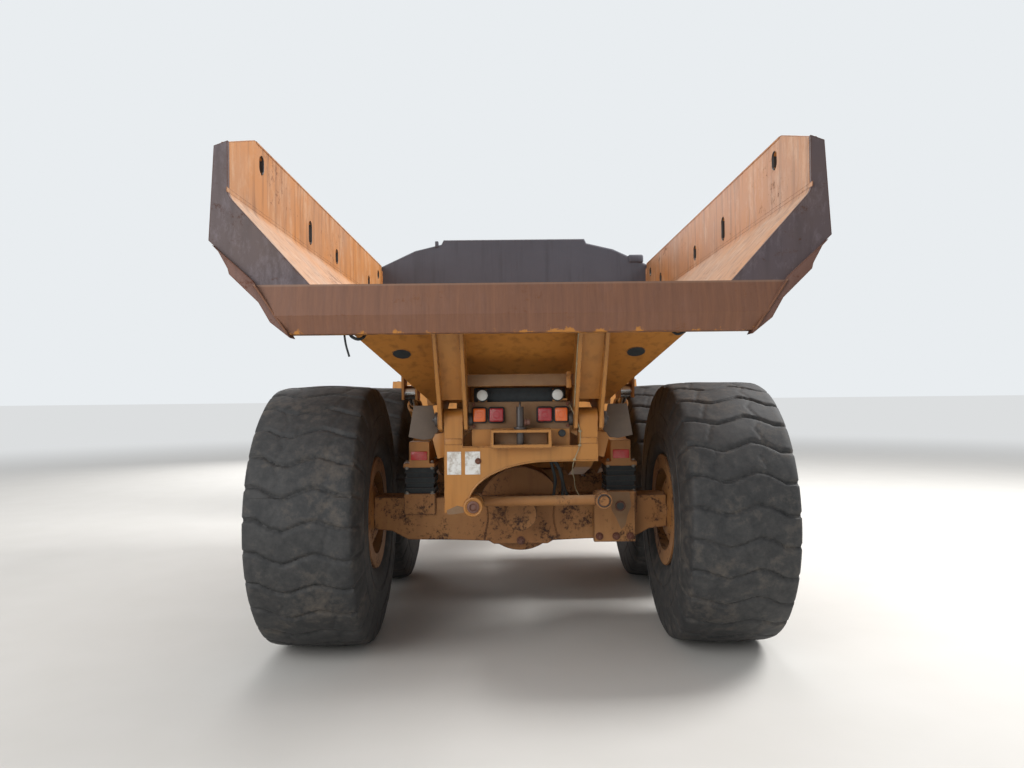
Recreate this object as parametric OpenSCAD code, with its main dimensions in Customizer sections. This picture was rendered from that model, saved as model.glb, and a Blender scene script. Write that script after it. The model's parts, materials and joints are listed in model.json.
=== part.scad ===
// Articulated dump truck: a tractor unit and a tandem-axle dumper unit joined at a steering and rolling hitch.
// Millimetres. X is to the right of the driver, Y is forward, Z is up. The origin is on the ground,
// under the middle of the overall length.

/* [Overall] */
// Length from the bed's tail to the front bumper
overall_len = 10900; // [10600:50:11200]
// Distance from the bed's tail to the rear axle
tail_overhang = 1400; // [1300:10:1500]
// Distance between the two rear axles
bogie_base = 1966; // [1950:2:2000]
// Distance from the front axle to the middle axle
wheel_base = 4263; // [4200:10:4400]
// Distance across the tyre centres of one axle
track = 2770; // [2700:10:2800]

/* [Wheels] */
// Outer diameter of the tyres
tyre_d = 1860; // [1820:10:1880]
// Width of a tyre at its widest
tyre_w = 750; // [700:5:770]
// Diameter of the rim's bead seat
bead_d = 635; // [600:5:660]
// Number of lugs on each side of a tyre
lug_count = 26; // [20:2:32]
// Depth of the tread between the lugs
lug_depth = 30; // [15:1:45]

/* [Bed] */
// Width of the bed over its rear flanges
bed_w = 3464; // [3360:4:3500]
// Length of the bed from the tail to the front wall
bed_len = 5150; // [5000:10:5250]
// Height of the side walls' top edge above the ground
bed_top_z = 3360; // [3300:10:3450]
// Height of the top edge at the very tail, where the corner is cut
bed_tail_top_z = 3207; // [3100:1:3250]
// Height of the underside of the floor
bed_floor_z = 1720; // [1700:5:1740]
// Half width of the flat floor
floor_half_w = 620; // [600:5:640]
// Thickness of the bed's floor and walls, both skins together
bed_plate = 44; // [36:1:50]
// Slope of the lower sides from the horizontal
flare_angle = 48; // [46:0.5:49]
// Length of the rising tail ramp
ramp_len = 1250; // [1150:10:1350]

/* [Frames] */
// Half the outer width of both frames
frame_half_w = 490; // [480:5:500]
// Width of a frame rail
rail_w = 120; // [110:5:130]
// Height of the rear frame rails' top
rear_rail_top = 1500; // [1480:5:1520]
// Depth of the rear frame rails
rear_rail_h = 340; // [300:5:360]
// Height of the bed's hinge pins
tip_z = 1620; // [1600:2:1650]
// Distance from the rear axle back to the bed's hinge pins
tip_back = 650; // [600:5:700]
// Distance from the front axle back to the steering hinge
hitch_back = 1480; // [1450:10:1520]

/* [Tractor] */
// Width of the cab
cab_w = 1640; // [1560:10:1700]
// Length of the cab
cab_len = 1750; // [1650:10:1800]
// Height of the cab floor
cab_floor_z = 1950; // [1940:5:1980]
// Height of the cab roof's top
cab_roof_z = 3700; // [3650:10:3745]
// Width of the hood
hood_w = 1500; // [1450:10:1560]

/* [Hidden] */
$fn = 48;

// Lengthwise places, worked out from the tail forwards
y_tail = -overall_len / 2;
y_nose = overall_len / 2;
y_rear = y_tail + tail_overhang;
y_mid = y_rear + bogie_base;
y_front = y_mid + wheel_base;
y_tip = y_rear - tip_back;
y_hitch = y_front - hitch_back;
y_wall = y_tail + bed_len;
y_bogie = (y_rear + y_mid) / 2;
axle_z = tyre_d / 2;
seat_gap = 0.3;
run_gap = 6;
rail_in = frame_half_w - rail_w;
end_y0 = y_tip - 80;
end_y1 = y_tip + 60;
pin_y = y_tip - 10;

// Bed section: floor, flared lower sides, upright upper sides
wall_out = bed_w / 2 - 65;
wall_in = wall_out - bed_plate;
flare = tan(flare_angle);
function flare_z(x) = bed_floor_z + (x - floor_half_w) * flare;
plate_rise = bed_plate / cos(flare_angle);
inner_floor_z = bed_floor_z + bed_plate;
inner_floor_half = floor_half_w - (plate_rise - bed_plate) / flare;
function inner_flare_x(z) = inner_floor_half + (z - inner_floor_z) / flare;
bend_r = 80;
bend_x = wall_in - bend_r;
bend_z = inner_floor_z + (bend_x - inner_floor_half) * flare + bend_r / cos(flare_angle);
function bend_arc(r) = [for (i = [0:5]) let (a = (flare_angle - 90) * (1 - i / 5))
    [bend_x + r * cos(a), bend_z + r * sin(a)]];
function mirrored(p) = concat(p, [for (i = [len(p) - 1:-1:0]) [-p[i][0], p[i][1]]]);
outer_half = concat([[floor_half_w, bed_floor_z]], bend_arc(bend_r + bed_plate));
inner_half = concat([[inner_floor_half, inner_floor_z]], bend_arc(bend_r));
lip_z = 2400;
lip_bottom_z = 2122;
flange_t = 25;
flange_y = y_tail + 40;
shell_y = flange_y + flange_t + seat_gap;

module block(lo, hi) {
    translate(lo) cube(hi - lo);
}
module both_sides() {
    children();
    mirror([1, 0, 0]) children();
}
// A Y-Z outline run along X
module slab_x(x0, x1, points) {
    translate([x0, 0, 0]) rotate([90, 0, 90]) linear_extrude(x1 - x0) polygon(points);
}
// An X-Z outline run along Y
module slab_y(y0, y1, points) {
    translate([0, y1, 0]) rotate([90, 0, 0]) linear_extrude(y1 - y0) polygon(points);
}
module bar_x(r, x0, x1, y, z) {
    translate([x0, y, z]) rotate([0, 90, 0]) cylinder(h = x1 - x0, r = r);
}
module bar_y(r, y0, y1, x, z) {
    translate([x, y1, z]) rotate([90, 0, 0]) cylinder(h = y1 - y0, r = r);
}
module bar_z(r, z0, z1, x, y) {
    translate([x, y, z0]) cylinder(h = z1 - z0, r = r);
}
// A round bar from one point to another
module rod(p, q, r) {
    d = q - p;
    translate(p) rotate([0, acos(d[2] / norm(d)), atan2(d[1], d[0])]) cylinder(h = norm(d), r = r);
}
// A shape drawn about its own Z axis, turned so that Z points along X
module along_x(x, y, z) {
    translate([x, y, z]) rotate([0, 90, 0]) children();
}

// Wheels
half_track = track / 2;
tyre_r = tyre_d / 2;
bead_r = bead_d / 2;
flange_r = bead_r + 85;
hw = tyre_w / 2;
// Radius and distance from the tyre's middle plane, from the bead out to the crown
carcass = [
    [bead_r + seat_gap, -hw + 55], [flange_r + 5, -hw + 48], [flange_r + 60, -hw + 16], [tyre_r * 0.66, -hw],
    [tyre_r * 0.74, -hw + 4], [tyre_r * 0.86, -hw + 22], [tyre_r - lug_depth - 32, -hw + 52],
    [tyre_r - lug_depth - 8, -hw + 120], [tyre_r - lug_depth, 0]
];
function both_ends(p) = concat(p, [for (i = [len(p) - 1:-1:0]) [p[i][0], -p[i][1]]]);
module tyre(x, y) {
    color("#2b2a2a") along_x(x, y, axle_z) union() {
        rotate_extrude($fn = 96) polygon(both_ends(carcass));
        for (side = [-1, 1], i = [0:lug_count - 1])
            rotate([0, 0, (i + (side > 0 ? 0.5 : 0)) * 360 / lug_count]) lug(side);
    }
}
lug_w = PI * tyre_d / lug_count * 0.72;
lug_top = sqrt(tyre_r * tyre_r - lug_w * lug_w / 4);
module lug(side) {
    r0 = tyre_r - lug_depth - 60;
    mirror([0, 0, side < 0 ? 1 : 0]) rotate([90, 0, 0])
        translate([0, 0, -lug_w / 2]) linear_extrude(lug_w) polygon([
            [r0, 8], [lug_top, 8], [lug_top - 2, 150], [lug_top - 14, 270], [lug_top - 44, hw - 38],
            [lug_top - 110, hw - 20], [r0 - 60, hw - 40]
        ]);
}
module rim(x, y, side) {
    color("#a8702a") along_x(x, y, axle_z) mirror([0, 0, side < 0 ? 1 : 0]) {
        rotate_extrude($fn = 72) polygon([
            [bead_r - 24, -hw + 30], [flange_r - 4, -hw + 26], [flange_r, -hw + 34], [flange_r - 4, -hw + 44],
            [bead_r, -hw + 52], [bead_r, hw - 52], [flange_r - 4, hw - 44], [flange_r, hw - 34],
            [flange_r - 4, hw - 26], [bead_r - 24, hw - 30], [bead_r - 40, hw - 120], [255, hw - 190],
            [232, hw - 200], [228, hw - 60], [150, hw - 30], [0, hw - 30], [0, 20], [236, 20],
            [250, -10], [bead_r - 30, -60]
        ]);
    }
}
module wheel_tyre(end, side) {
    tyre(side * half_track, end);
}

// Axle housing: banjo, beam, brake drums and spindles
hub_x = half_track + 20 - seat_gap;
// Box beam of an axle seen from behind: half width and height
beam_half = [
    [0, 1046], [700, 1046], [1040, 1052], [1040, 826], [915, 812], [800, 750], [480, 745], [230, 735], [190, 712], [0, 712]
];
module axle(y) {
    color("#b07428") {
        slab_y(y - 125, y + 125, mirrored(beam_half));
        both_sides() along_x(0, y, axle_z) rotate_extrude($fn = 64) polygon([
            [0, 880], [110, 880], [130, 1045], [180, 1060], [235, 1085], [235, 1190], [120, 1190], [110, hub_x], [0, hub_x]
        ]);
        // Differential carrier, its input boss and the through-drive boss
        bar_y(300, y - 40, y + 240, 0, axle_z + 20);
        translate([0, y + 240, axle_z + 20]) rotate([-90, 0, 0]) cylinder(h = 180, r1 = 300, r2 = 130);
        bar_y(110, y - 320, y - 50, 0, axle_z + 20);
        // Pads under the rubber mounts
        both_sides() block([607, y - 150, axle_z], [827, y + 150, pad_z]);
    }
}
pad_z = 1078;
stack_top = 1262;
beam_x0 = 646;
module rear_axle() {
    axle(y_rear);
    // Bolted bracket that carries the cross rod's axle end
    color("#b07428") difference() {
        union() {
            block([515, y_rear - 210, 735], [805, y_rear - 140, 1090]);
            bar_y(34, rod_y - 60, y_rear - 200, 548, 1068);
        }
        bar_y(26, y_rear - 211, y_rear - 170, 660, 1035);
    }
}
module middle_axle() {
    axle(y_mid);
}
module rubber_mounts() {
    layer = (stack_top - pad_z - seat_gap) / 5;
    color("#1c2a2c") both_sides() for (y = [y_rear, y_mid], i = [0:4]) {
        inset = (i % 2) * 8;
        block([612 + inset, y - 130 + inset, pad_z + seat_gap + i * layer],
            [822 - inset, y + 130 - inset, pad_z + seat_gap + (i + 1) * layer]);
    }
}
module bogie_beams() {
    color("#b07428") both_sides() {
        slab_x(646, 788, [
            [y_rear - 150, stack_top + 30], [y_rear + 200, stack_top + 30], [y_bogie - 250, 1120],
            [y_bogie + 250, 1120], [y_mid - 200, stack_top + 30], [y_mid + 150, stack_top + 30],
            [y_mid + 150, 1445], [y_mid - 200, 1480], [y_bogie, 1500], [y_rear + 200, 1500], [y_rear + 60, 1445],
            [y_rear - 150, 1445]
        ]);
        for (y = [y_rear, y_mid]) block([610, y - 150, stack_top + seat_gap], [830, y + 150, stack_top + 31]);
    }
}
rod_y = end_y1 + 100;
module axle_rods() {
    color("#b07428") difference() {
        union() {
            rod([-308, rod_y, 1066], [548, rod_y, 1068], 34);
            bar_y(58, rod_y - 45, rod_y + 45, -308, 1066);
            bar_y(58, rod_y - 45, rod_y + 45, 548, 1068);
        }
        bar_y(34 + seat_gap, rod_y - 46, rod_y + 46, 548, 1068);
        bar_y(30 + seat_gap, rod_y - 46, rod_y + 46, -308, 1066);
    }
}
module driveshafts() {
    color("#3a3835") {
        bar_y(60, y_rear + 420 + seat_gap, y_mid - 320 - seat_gap, 0, axle_z + 20);
        rod([0, y_mid + 424, axle_z + 20], [0, y_hitch - 600, hitch_z], 60);
    }
}

// Tail frame: end plate with two hinge posts and an arch over the cross rod, towing frame, lamp panel
beam_top_z = 1445;
arch_z = 1352;
arch_foot_z = 1030;
arch_half = 520;
arch_x = 180;
post_top_r = 70;
pin_r = 45;
tow_pin_r = 22;
hitch_z = 1060;
trunnion_r = 230;
module end_plate() {
    difference() {
        block([-frame_half_w, end_y0, arch_foot_z], [frame_half_w, end_y1, beam_top_z]);
        translate([arch_x, end_y1 + 1, 1080]) rotate([90, 0, 0]) scale([arch_half, arch_z - 1080, 1])
            cylinder(h = end_y1 - end_y0 + 2, r = 1, $fn = 96);
        block([arch_x - arch_half, end_y0 - 1, arch_foot_z - 1], [arch_x, end_y1 + 1, 1081]);
        block([arch_x, end_y0 - 1, arch_foot_z - 1], [frame_half_w + 1, end_y1 + 1, arch_z]);
    }
    both_sides() {
        block([rail_in, end_y0, beam_top_z - 1], [frame_half_w, end_y1, tip_z]);
        bar_x(post_top_r, rail_in, frame_half_w, pin_y, tip_z);
    }
}
module tow_frame() {
    difference() {
        block([-190, end_y0 - 70, 1440], [190, end_y0 + 40, 1555]);
        block([-172, end_y0 - 71, 1462], [172, end_y0 + 41, 1537]);
    }
}
panel_top_z = 1730;
module tail_frame() {
    color("#b87a2c") {
        end_plate();
        // Boss of the cross rod's pin at the end plate's foot
        bar_y(62, end_y0 - 14, end_y1, -308, 1066);
        tow_frame();
    }
    // Pins of the bed, the towing frame and the cross rod
    color("#4a4440") {
        both_sides() bar_x(pin_r, rail_in - 60, frame_half_w + 60, pin_y, tip_z);
        bar_z(tow_pin_r, 1442, 1700, -5, end_y0 - 30);
        bar_y(30, end_y1 - 40, rod_y + 45, -308, 1066);
        bar_y(45, end_y1 - 40, rod_y - 45 - seat_gap, -308, 1066);
    }
    // Lamp panel with a tab behind each round lamp
    color("#8a6a3c") {
        block([-315, end_y1 - 90, beam_top_z - 1], [315, end_y1 - 70, panel_top_z]);
        for (x = round_lamps) block([x - 30, end_y1 - 90, panel_top_z - 1], [x + 30, end_y1 - 80, 1812]);
    }
}

// Rear frame: rails, cross members, bogie shaft and hitch tube
module rear_frame() {
    color("#b87a2c") difference() {
        union() {
            both_sides() slab_x(rail_in, frame_half_w, [
                [end_y1 + seat_gap, arch_z + 10], [y_rear - 300, 1270], [y_rear + 260, rear_rail_top - rear_rail_h],
                [y_mid + 900, rear_rail_top - rear_rail_h], [y_mid + 1500, 900], [y_hitch - 420, 880],
                [y_hitch - 420, 1250], [y_mid + 1300, 1420], [y_mid + 900, rear_rail_top],
                [end_y1 + seat_gap, rear_rail_top]
            ]);
            bar_x(95, -beam_x0 + seat_gap, beam_x0 - seat_gap, y_bogie, 1290);
            for (y = [y_mid + 700, y_rear + 700])
                block([-rail_in - 1, y, 1170], [rail_in + 1, y + 190, 1480]);
            bar_y(330, y_hitch - 800, y_hitch - 420, 0, hitch_z);
            block([-rail_in - 60, y_hitch - 820, 870], [rail_in + 60, y_hitch - 420, 1230]);
            both_sides() block([frame_half_w - 1, hoist_base[0] - 90, hoist_base[1] - 90],
                [hoist_x - hoist_r - 8, hoist_base[0] + 90, hoist_base[1] + 90]);
        }
        bar_y(trunnion_r + seat_gap, y_hitch - 900, y_hitch - 300, 0, hitch_z);
    }
    // Pins of the hoist cylinders
    color("#4a4440") both_sides() bar_x(35, hoist_x - hoist_r - 9, hoist_x + 50, hoist_base[0], hoist_base[1]);
}
lamp_y = end_y1 - 90;
// Lamp centres across the panel: square ones low, round ones above
round_lamps = [-244, 236];
square_lamps = [[-264, "#d06018"], [-155, "#a8202a"], [154, "#a8202a"], [259, "#d06018"]];
module rear_lamps() {
    for (l = square_lamps) color(l[1]) block([l[0] - 45, lamp_y - 34, 1602], [l[0] + 45, lamp_y - seat_gap, 1692]);
    for (x = round_lamps) color("#d8d8d0") bar_y(41, lamp_y - 45, lamp_y - seat_gap, x, 1773);
}

// Bed
module bed_inner() {
    slab_y(y_tail - 1, y_wall + 1, mirrored(concat(inner_half, [[wall_in, bed_top_z]])));
}
module bed_outer() {
    slab_y(shell_y, y_wall, mirrored(outer_half));
}
// Underside of the tail ramp
function ramp_under(y) = bed_floor_z + (y_tail + ramp_len - y) * (lip_z - bed_plate - bed_floor_z) / ramp_len;
module below_ramp(rise) {
    slab_x(-wall_out - 50, wall_out + 50, [
        [y_tail - 1, bed_floor_z - 400], [y_tail + ramp_len + 400, bed_floor_z - 400],
        [y_tail + ramp_len, bed_floor_z + rise], [y_tail - 1, ramp_under(y_tail - 1) + rise]
    ]);
}
module bed_tub() {
    color("#a5682f") intersection() {
        difference() {
            bed_outer();
            below_ramp(0);
            difference() {
                bed_inner();
                below_ramp(bed_plate);
            }
        }
        block([-wall_out, y_tail, 0], [wall_out, y_wall, bend_z]);
    }
}
// Slots in the walls: share of the bed's length, shares of the wall's height for the foot and the head
wall_h = bed_top_z - bend_z;
slot_w = wall_h / 6;
wall_slots = [[0.12, 0.59, 0.85], [0.348, 0.1, 0.51], [0.526, 0.11, 0.4], [0.831, 0.15, 0.41], [0.95, 0.57, 0.78]];
function slot_arc(y, z, a0) = [for (a = [a0:30:a0 + 180]) [y + slot_w / 2 * cos(a), z + slot_w / 2 * sin(a)]];
module bed_sides() {
    color("#a5682f") both_sides() difference() {
        slab_x(wall_in, wall_out, [
            [shell_y, bend_z + seat_gap], [y_wall, bend_z + seat_gap], [y_wall, bed_top_z],
            [y_tail + 500, bed_top_z], [shell_y, bed_tail_top_z]
        ]);
        for (s = wall_slots) {
            y = y_tail + s[0] * bed_len;
            slab_x(wall_in - 1, wall_out + 1, concat(
                slot_arc(y, bend_z + s[2] * wall_h - slot_w / 2, 0), slot_arc(y, bend_z + s[1] * wall_h + slot_w / 2, 180)));
        }
    }
}
// Ribs outside the bed, each an upper and a lower box
rib_t = 90;
rib_split_z = 2760;
rib_places = [0.093, 0.437, 0.709];
module bed_ribs() {
    color("#a5682f") both_sides() for (share = rib_places) {
        y = y_tail + bed_len * share;
        slab_y(y, y + rib_t, [[wall_out + seat_gap, bend_z], [bed_w / 2, bend_z], [bed_w / 2 - 10, bed_top_z - 60],
            [wall_out + seat_gap, bed_top_z - 60]]);
        slab_y(y, y + rib_t, [[rib_x(2330), 2330], [rib_x(rib_split_z), rib_split_z], [bed_w / 2, rib_split_z],
            [bed_w / 2, 2680], [rib_x(2330) + 250, 2380]]);
    }
}
function rib_x(z) = floor_half_w + (z - bed_floor_z) / flare + seat_gap / sin(flare_angle);
module bed_headboard() {
    color("#8a5c36") slab_y(y_wall + seat_gap, y_wall + bed_plate, mirrored(concat(outer_half, [
        [wall_out, bed_top_z - 50], [1206, 3525], [875, 3605], [850, 3657]
    ])));
}
// Bent beam under the lip and the end flanges round the section
beam_end_x = [1477, 1296];
module bed_tail() {
    color("#7a4a34") {
        intersection() {
            slab_x(-1500, 1500, [
                [flange_y, lip_z - 1], [y_tail, 2222], [y_tail + 30, lip_bottom_z], [y_tail + 130, lip_bottom_z],
                [y_tail + 130, ramp_under(y_tail + 130) - seat_gap], [shell_y - seat_gap, ramp_under(shell_y) - seat_gap],
                [shell_y - seat_gap, lip_z - 1]
            ]);
            slab_y(y_tail - 1, y_tail + 200, [
                [-beam_end_x[1], lip_bottom_z - 1], [beam_end_x[1], lip_bottom_z - 1],
                [beam_end_x[0], lip_z - 1], [-beam_end_x[0], lip_z - 1]
            ]);
        }
        both_sides() slab_y(flange_y, flange_y + flange_t, [
            [beam_end_x[0], lip_z - 1], [bed_w / 2, 2650], [bed_w / 2 - 32, bed_tail_top_z - 28],
            [wall_in, bed_tail_top_z], for (i = [5:-1:0]) bend_arc(bend_r)[i], [inner_flare_x(lip_z), lip_z - 1]
        ]);
    }
}
leg_t = 24;
leg_in = rail_in - 8 - leg_t;
leg_out = frame_half_w + 8 + leg_t;
plate_touch = 1;
module bed_hinge_frame() {
    color("#b87a2c") both_sides() {
        difference() {
            for (x = [leg_in, leg_out - leg_t])
                slab_x(x, x + leg_t, [
                    [y_tail + 140, ramp_under(y_tail + 140) - seat_gap], [y_tip - 110, tip_z], [y_tip - 85, tip_z - 60],
                    [pin_y, tip_z - 78], [y_tip + 65, tip_z - 60], [y_tip + 90, tip_z],
                    [y_tip + 260, bed_floor_z - 60], [y_tail + ramp_len, bed_floor_z - seat_gap]
                ]);
            bar_x(pin_r + seat_gap, leg_in - 20, leg_out + 20, pin_y, tip_z);
        }
        // Web between the two plates of a leg
        slab_x(leg_in + leg_t - 1, leg_out - leg_t + 1, [
            [y_tail + 160, ramp_under(y_tail + 160) - seat_gap], [y_tip - 96, 1745], [y_tip - 72, 1745],
            [y_tail + 190, ramp_under(y_tail + 190) - seat_gap]
        ]);
        // Brackets either side of the hoist cylinder's eye
        for (x = [hoist_x - eye_half - seat_gap - 20, hoist_x + eye_half + seat_gap])
            slab_x(x, x + 20, [[hoist_eye[0] - 90, hoist_eye[1] - 60], [hoist_eye[0] + 90, hoist_eye[1] - 60],
                [hoist_eye[0] + 120, flare_z(x) - plate_touch], [hoist_eye[0] - 120, flare_z(x) - plate_touch]]);
    }
    // Cross tube between the legs
    color("#b87a2c") block([-leg_in - 1, y_tip - 150, 1830], [leg_in + 1, y_tip - 110, 1906]);
}

// Hoist cylinders: base on the rear frame, eye under the bed
hoist_x = 900;
eye_half = 45.7;
hoist_r = 58;
hoist_base = [y_mid + 784, 950];
hoist_eye = [y_tip + 1490, 1800];
hoist_len = norm(hoist_eye - hoist_base);
hoist_dir = (hoist_eye - hoist_base) / hoist_len;
hoist_mouth = hoist_len - 260;
module hoist_stretch(side, r, s0, s1) {
    p = hoist_base + hoist_dir * s0;
    q = hoist_base + hoist_dir * s1;
    rod([side * hoist_x, p[0], p[1]], [side * hoist_x, q[0], q[1]], r);
}
module hoist_barrel(side) {
    color("#b87a2c") difference() {
        union() {
            hoist_stretch(side, hoist_r, 60, hoist_mouth);
            bar_x(75, side * hoist_x - 45, side * hoist_x + 45, hoist_base[0], hoist_base[1]);
        }
        hoist_stretch(side, hoist_r - 12, 300, hoist_mouth + 1);
        bar_x(35 + seat_gap, side * hoist_x - 46, side * hoist_x + 46, hoist_base[0], hoist_base[1]);
    }
}
module hoist_rod(side) {
    color("#c8c8c4") {
        hoist_stretch(side, hoist_r - 13, 320, 400);
        hoist_stretch(side, 36, 399, hoist_len - 50);
        bar_x(60, side * hoist_x - eye_half, side * hoist_x + eye_half, hoist_eye[0], hoist_eye[1]);
    }
}

// Hitch yoke: turns in the rear frame's tube, and carries the steering hinge
steer_base = [420, y_hitch + 900];
steer_eye = [300, y_hitch - 240];
steer_z = hitch_z;
steer_len = norm(steer_eye - steer_base);
steer_dir = (steer_eye - steer_base) / steer_len;
ear_reach = 260;
hinge_pin_r = 70;
module hitch_yoke() {
    color("#b07428") difference() {
        union() {
            bar_y(trunnion_r, y_hitch - 790, y_hitch - 399, 0, hitch_z);
            block([-235, y_hitch - 400, hitch_z - ear_reach], [235, y_hitch - 330, hitch_z + ear_reach]);
            for (z = [hitch_z - ear_reach, hitch_z + ear_reach - 100]) {
                block([-150, y_hitch - 331, z], [150, y_hitch, z + 100]);
                bar_z(150, z, z + 100, 0, y_hitch);
            }
            // Arms that take the steering cylinders
            for (z = [steer_z - 96, steer_z + 66])
                block([-360, y_hitch - 400, z], [360, y_hitch - 180, z + 30]);
        }
        bar_y(120, y_hitch - 800, y_hitch - 320, 0, hitch_z);
        block([-180, y_hitch - 329, steer_z - 100], [180, y_hitch - 170, steer_z + 100]);
        bar_z(hinge_pin_r + seat_gap, hitch_z - ear_reach - 1, hitch_z + ear_reach + 1, 0, y_hitch);
    }
}

// Tractor
ear_plate = 60;
tow_eye_r = 25;
front_rail_z0 = 1150;
front_rail_z1 = 1420;
module front_frame() {
    color("#b07428") difference() {
        union() {
            both_sides() block([rail_in, y_hitch + 1000, front_rail_z0], [frame_half_w, y_nose - 500, front_rail_z1]);
            // Ears round the steering hinge and the neck behind the rails
            for (z = [hitch_z - ear_reach - run_gap - ear_plate, hitch_z + ear_reach + run_gap]) {
                bar_z(160, z, z + ear_plate, 0, y_hitch);
                block([-160, y_hitch, z], [160, y_hitch + 480, z + ear_plate]);
            }
            block([-240, y_hitch + 420, hitch_z - ear_reach - run_gap - ear_plate],
                [240, y_hitch + 1100, hitch_z + ear_reach + run_gap + ear_plate]);
            block([-frame_half_w, y_hitch + 1000, 820], [frame_half_w, y_hitch + 1060, front_rail_z1]);
            // Brackets of the steering cylinders
            for (z = [steer_z - 84, steer_z + 54])
                block([-490, steer_base[1] - 70, z], [490, y_hitch + 1001, z + 30]);
            // Cab posts and the front cross member with the hood's hinge lugs
            both_sides() for (y = [cab_y0 + 100, cab_y1 - 220])
                block([rail_in, y, front_rail_z1 - 1], [frame_half_w, y + 120, cab_floor_z - seat_gap]);
            block([-frame_half_w, y_nose - 520, 1000], [frame_half_w, y_nose - 140, 1140]);
            both_sides() {
                block([rail_in, y_nose - 620, 1000], [frame_half_w, y_nose - 500, front_rail_z1]);
                block([440, hood_hinge[0] - 70, 1100], [500, hood_hinge[0] + 5, hood_hinge[1]]);
                bar_x(45, 440, 500, hood_hinge[0], hood_hinge[1]);
                block([330, y_nose - 145, 1005], [380, y_nose - 45, 1115]);
                bar_x(45, 330, 380, y_nose - 45, 1060);
            }
        }
        block([-150, y_hitch + 400, hitch_z - 200], [150, y_hitch + 1110, hitch_z + 200]);
        bar_x(tow_eye_r, -400, 400, y_nose - 45, 1060);
    }
    color("#4a4440") {
        for (z = [hitch_z - ear_reach - run_gap - ear_plate - 20, hitch_z + ear_reach - 110])
            bar_z(hinge_pin_r, z, z + 196, 0, y_hitch);
        both_sides() {
            bar_x(25, 499, 560, hood_hinge[0], hood_hinge[1]);
            bar_z(30, steer_z - 64, steer_z + 64, steer_base[0], steer_base[1]);
        }
    }
}
module front_axle() {
    color("#b07428") {
        along_x(0, y_front, axle_z) rotate_extrude() polygon([
            [0, -hub_x], [110, -hub_x], [120, -1010], [235, -1010], [235, -960], [150, -860], [140, -360],
            [230, 0], [140, 360], [150, 860], [235, 960], [235, 1010], [120, 1010], [110, hub_x], [0, hub_x]
        ]);
        both_sides() block([rail_in, y_front - 100, axle_z], [frame_half_w, y_front + 100, front_rail_z0 - seat_gap]);
    }
}
module engine() {
    color("#8a7a50") block([-rail_in + seat_gap, cab_y1 + 60, 1000], [rail_in - seat_gap, y_nose - 800, 2050]);
}
module radiator() {
    color("#3a3a3a") block([-560, y_nose - 780, front_rail_z1 + seat_gap], [560, y_nose - 560, 2150]);
}
hood_hinge = [y_nose - 260, 1260];
cab_y0 = y_front - 900;
cab_y1 = cab_y0 + cab_len;
cab_x = cab_w / 2;
hood_back = cab_y1 + 130;
hood_back_z = 2620;
hood_nose_z = 2180;
hood_lip_z = 1900;
grille_z0 = 1330;
grille_z1 = 1850;
function nose_y(z) = y_nose - 150 + (z - 1240) * 40 / 660;
module grille_slab(half, z0, z1, back, front) {
    slab_x(-half, half, [[nose_y(z0) - back, z0], [nose_y(z1) - back, z1], [nose_y(z1) + front, z1], [nose_y(z0) + front, z0]]);
}
module hood() {
    color("#c98a2e") difference() {
        union() {
            difference() {
                slab_x(-hood_w / 2, hood_w / 2, [
                    [y_nose - 150, 1240], [y_nose - 110, hood_lip_z], [y_nose - 260, hood_nose_z], [hood_back, hood_back_z],
                    [hood_back, 1600], [y_nose - 700, 1520], [y_nose - 400, 1240]
                ]);
                slab_x(-hood_w / 2 + 30, hood_w / 2 - 30, [
                    [y_nose - 182, 1200], [y_nose - 140, hood_lip_z - 10], [y_nose - 280, hood_nose_z - 30],
                    [hood_back - 30, hood_back_z - 35],
                    [hood_back - 30, 1200]
                ]);
            }
            both_sides() slab_x(506, 536, [[hood_hinge[0] - 50, hood_hinge[1] - 40], [nose_y(1240) - 15, hood_hinge[1] - 20],
                [nose_y(1320) - 15, 1320], [hood_hinge[0] - 30, 1320]]);
        }
        both_sides() bar_x(25 + seat_gap, 500, 540, hood_hinge[0], hood_hinge[1]);
        grille_slab(540, grille_z0, grille_z1, 60, 20);
    }
}
module grille() {
    color("#222222") difference() {
        grille_slab(540 - seat_gap, grille_z0 + seat_gap, grille_z1 - seat_gap, 26, 0);
        for (x = [-500, -150, 200], i = [0:7])
            grille_slab(150, grille_z0 + 30 + i * 60, grille_z0 + 66 + i * 60, 30, 5);
    }
}
module bumper() {
    color("#2c2c2c") difference() {
        block([-1300, y_nose - 140 + seat_gap, 780], [1300, y_nose - 90, 1140]);
        both_sides() block([325, y_nose - 141, 1000], [385, y_nose - 89, 1120]);
    }
}
module headlamps() {
    color("#e8e8e0") both_sides() block([900, y_nose - 138, 1140 + seat_gap], [1080, y_nose - 60, 1280]);
}
deck_z = tyre_d + 115;
fender_z = deck_z - 45;
module fenders() {
    arch_y = [tyre_r + 110, tyre_r - 80];
    color("#b87a2c") both_sides() slab_x(cab_x + seat_gap, 1740, [
        [y_front - arch_y[0] - 40, 1500], [y_front - arch_y[0], 1500], [y_front - arch_y[1], fender_z],
        [y_front + arch_y[1], fender_z], [y_front + arch_y[0], 1500], [y_front + arch_y[0] + 40, 1500],
        [y_front + arch_y[1] + 30, deck_z], [y_front - arch_y[1] - 30, deck_z]
    ]);
}
cab_wall = 60;
module cab_outline(inset) {
    slab_x(-cab_x + inset, cab_x - inset, [
        [cab_y0 + inset, cab_floor_z + inset], [cab_y1 - inset, cab_floor_z + inset],
        [cab_y1 - inset, 2650], [cab_y1 - 180 - inset, cab_roof_z - 100 + (inset > 0 ? 1 : 0)],
        [cab_y0 + inset, cab_roof_z - 100 + (inset > 0 ? 1 : 0)]
    ]);
}
win_z0 = 2700;
win_z1 = cab_roof_z - 180;
door_y0 = cab_y0 + 300;
door_y1 = cab_y1 - 420;
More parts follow.
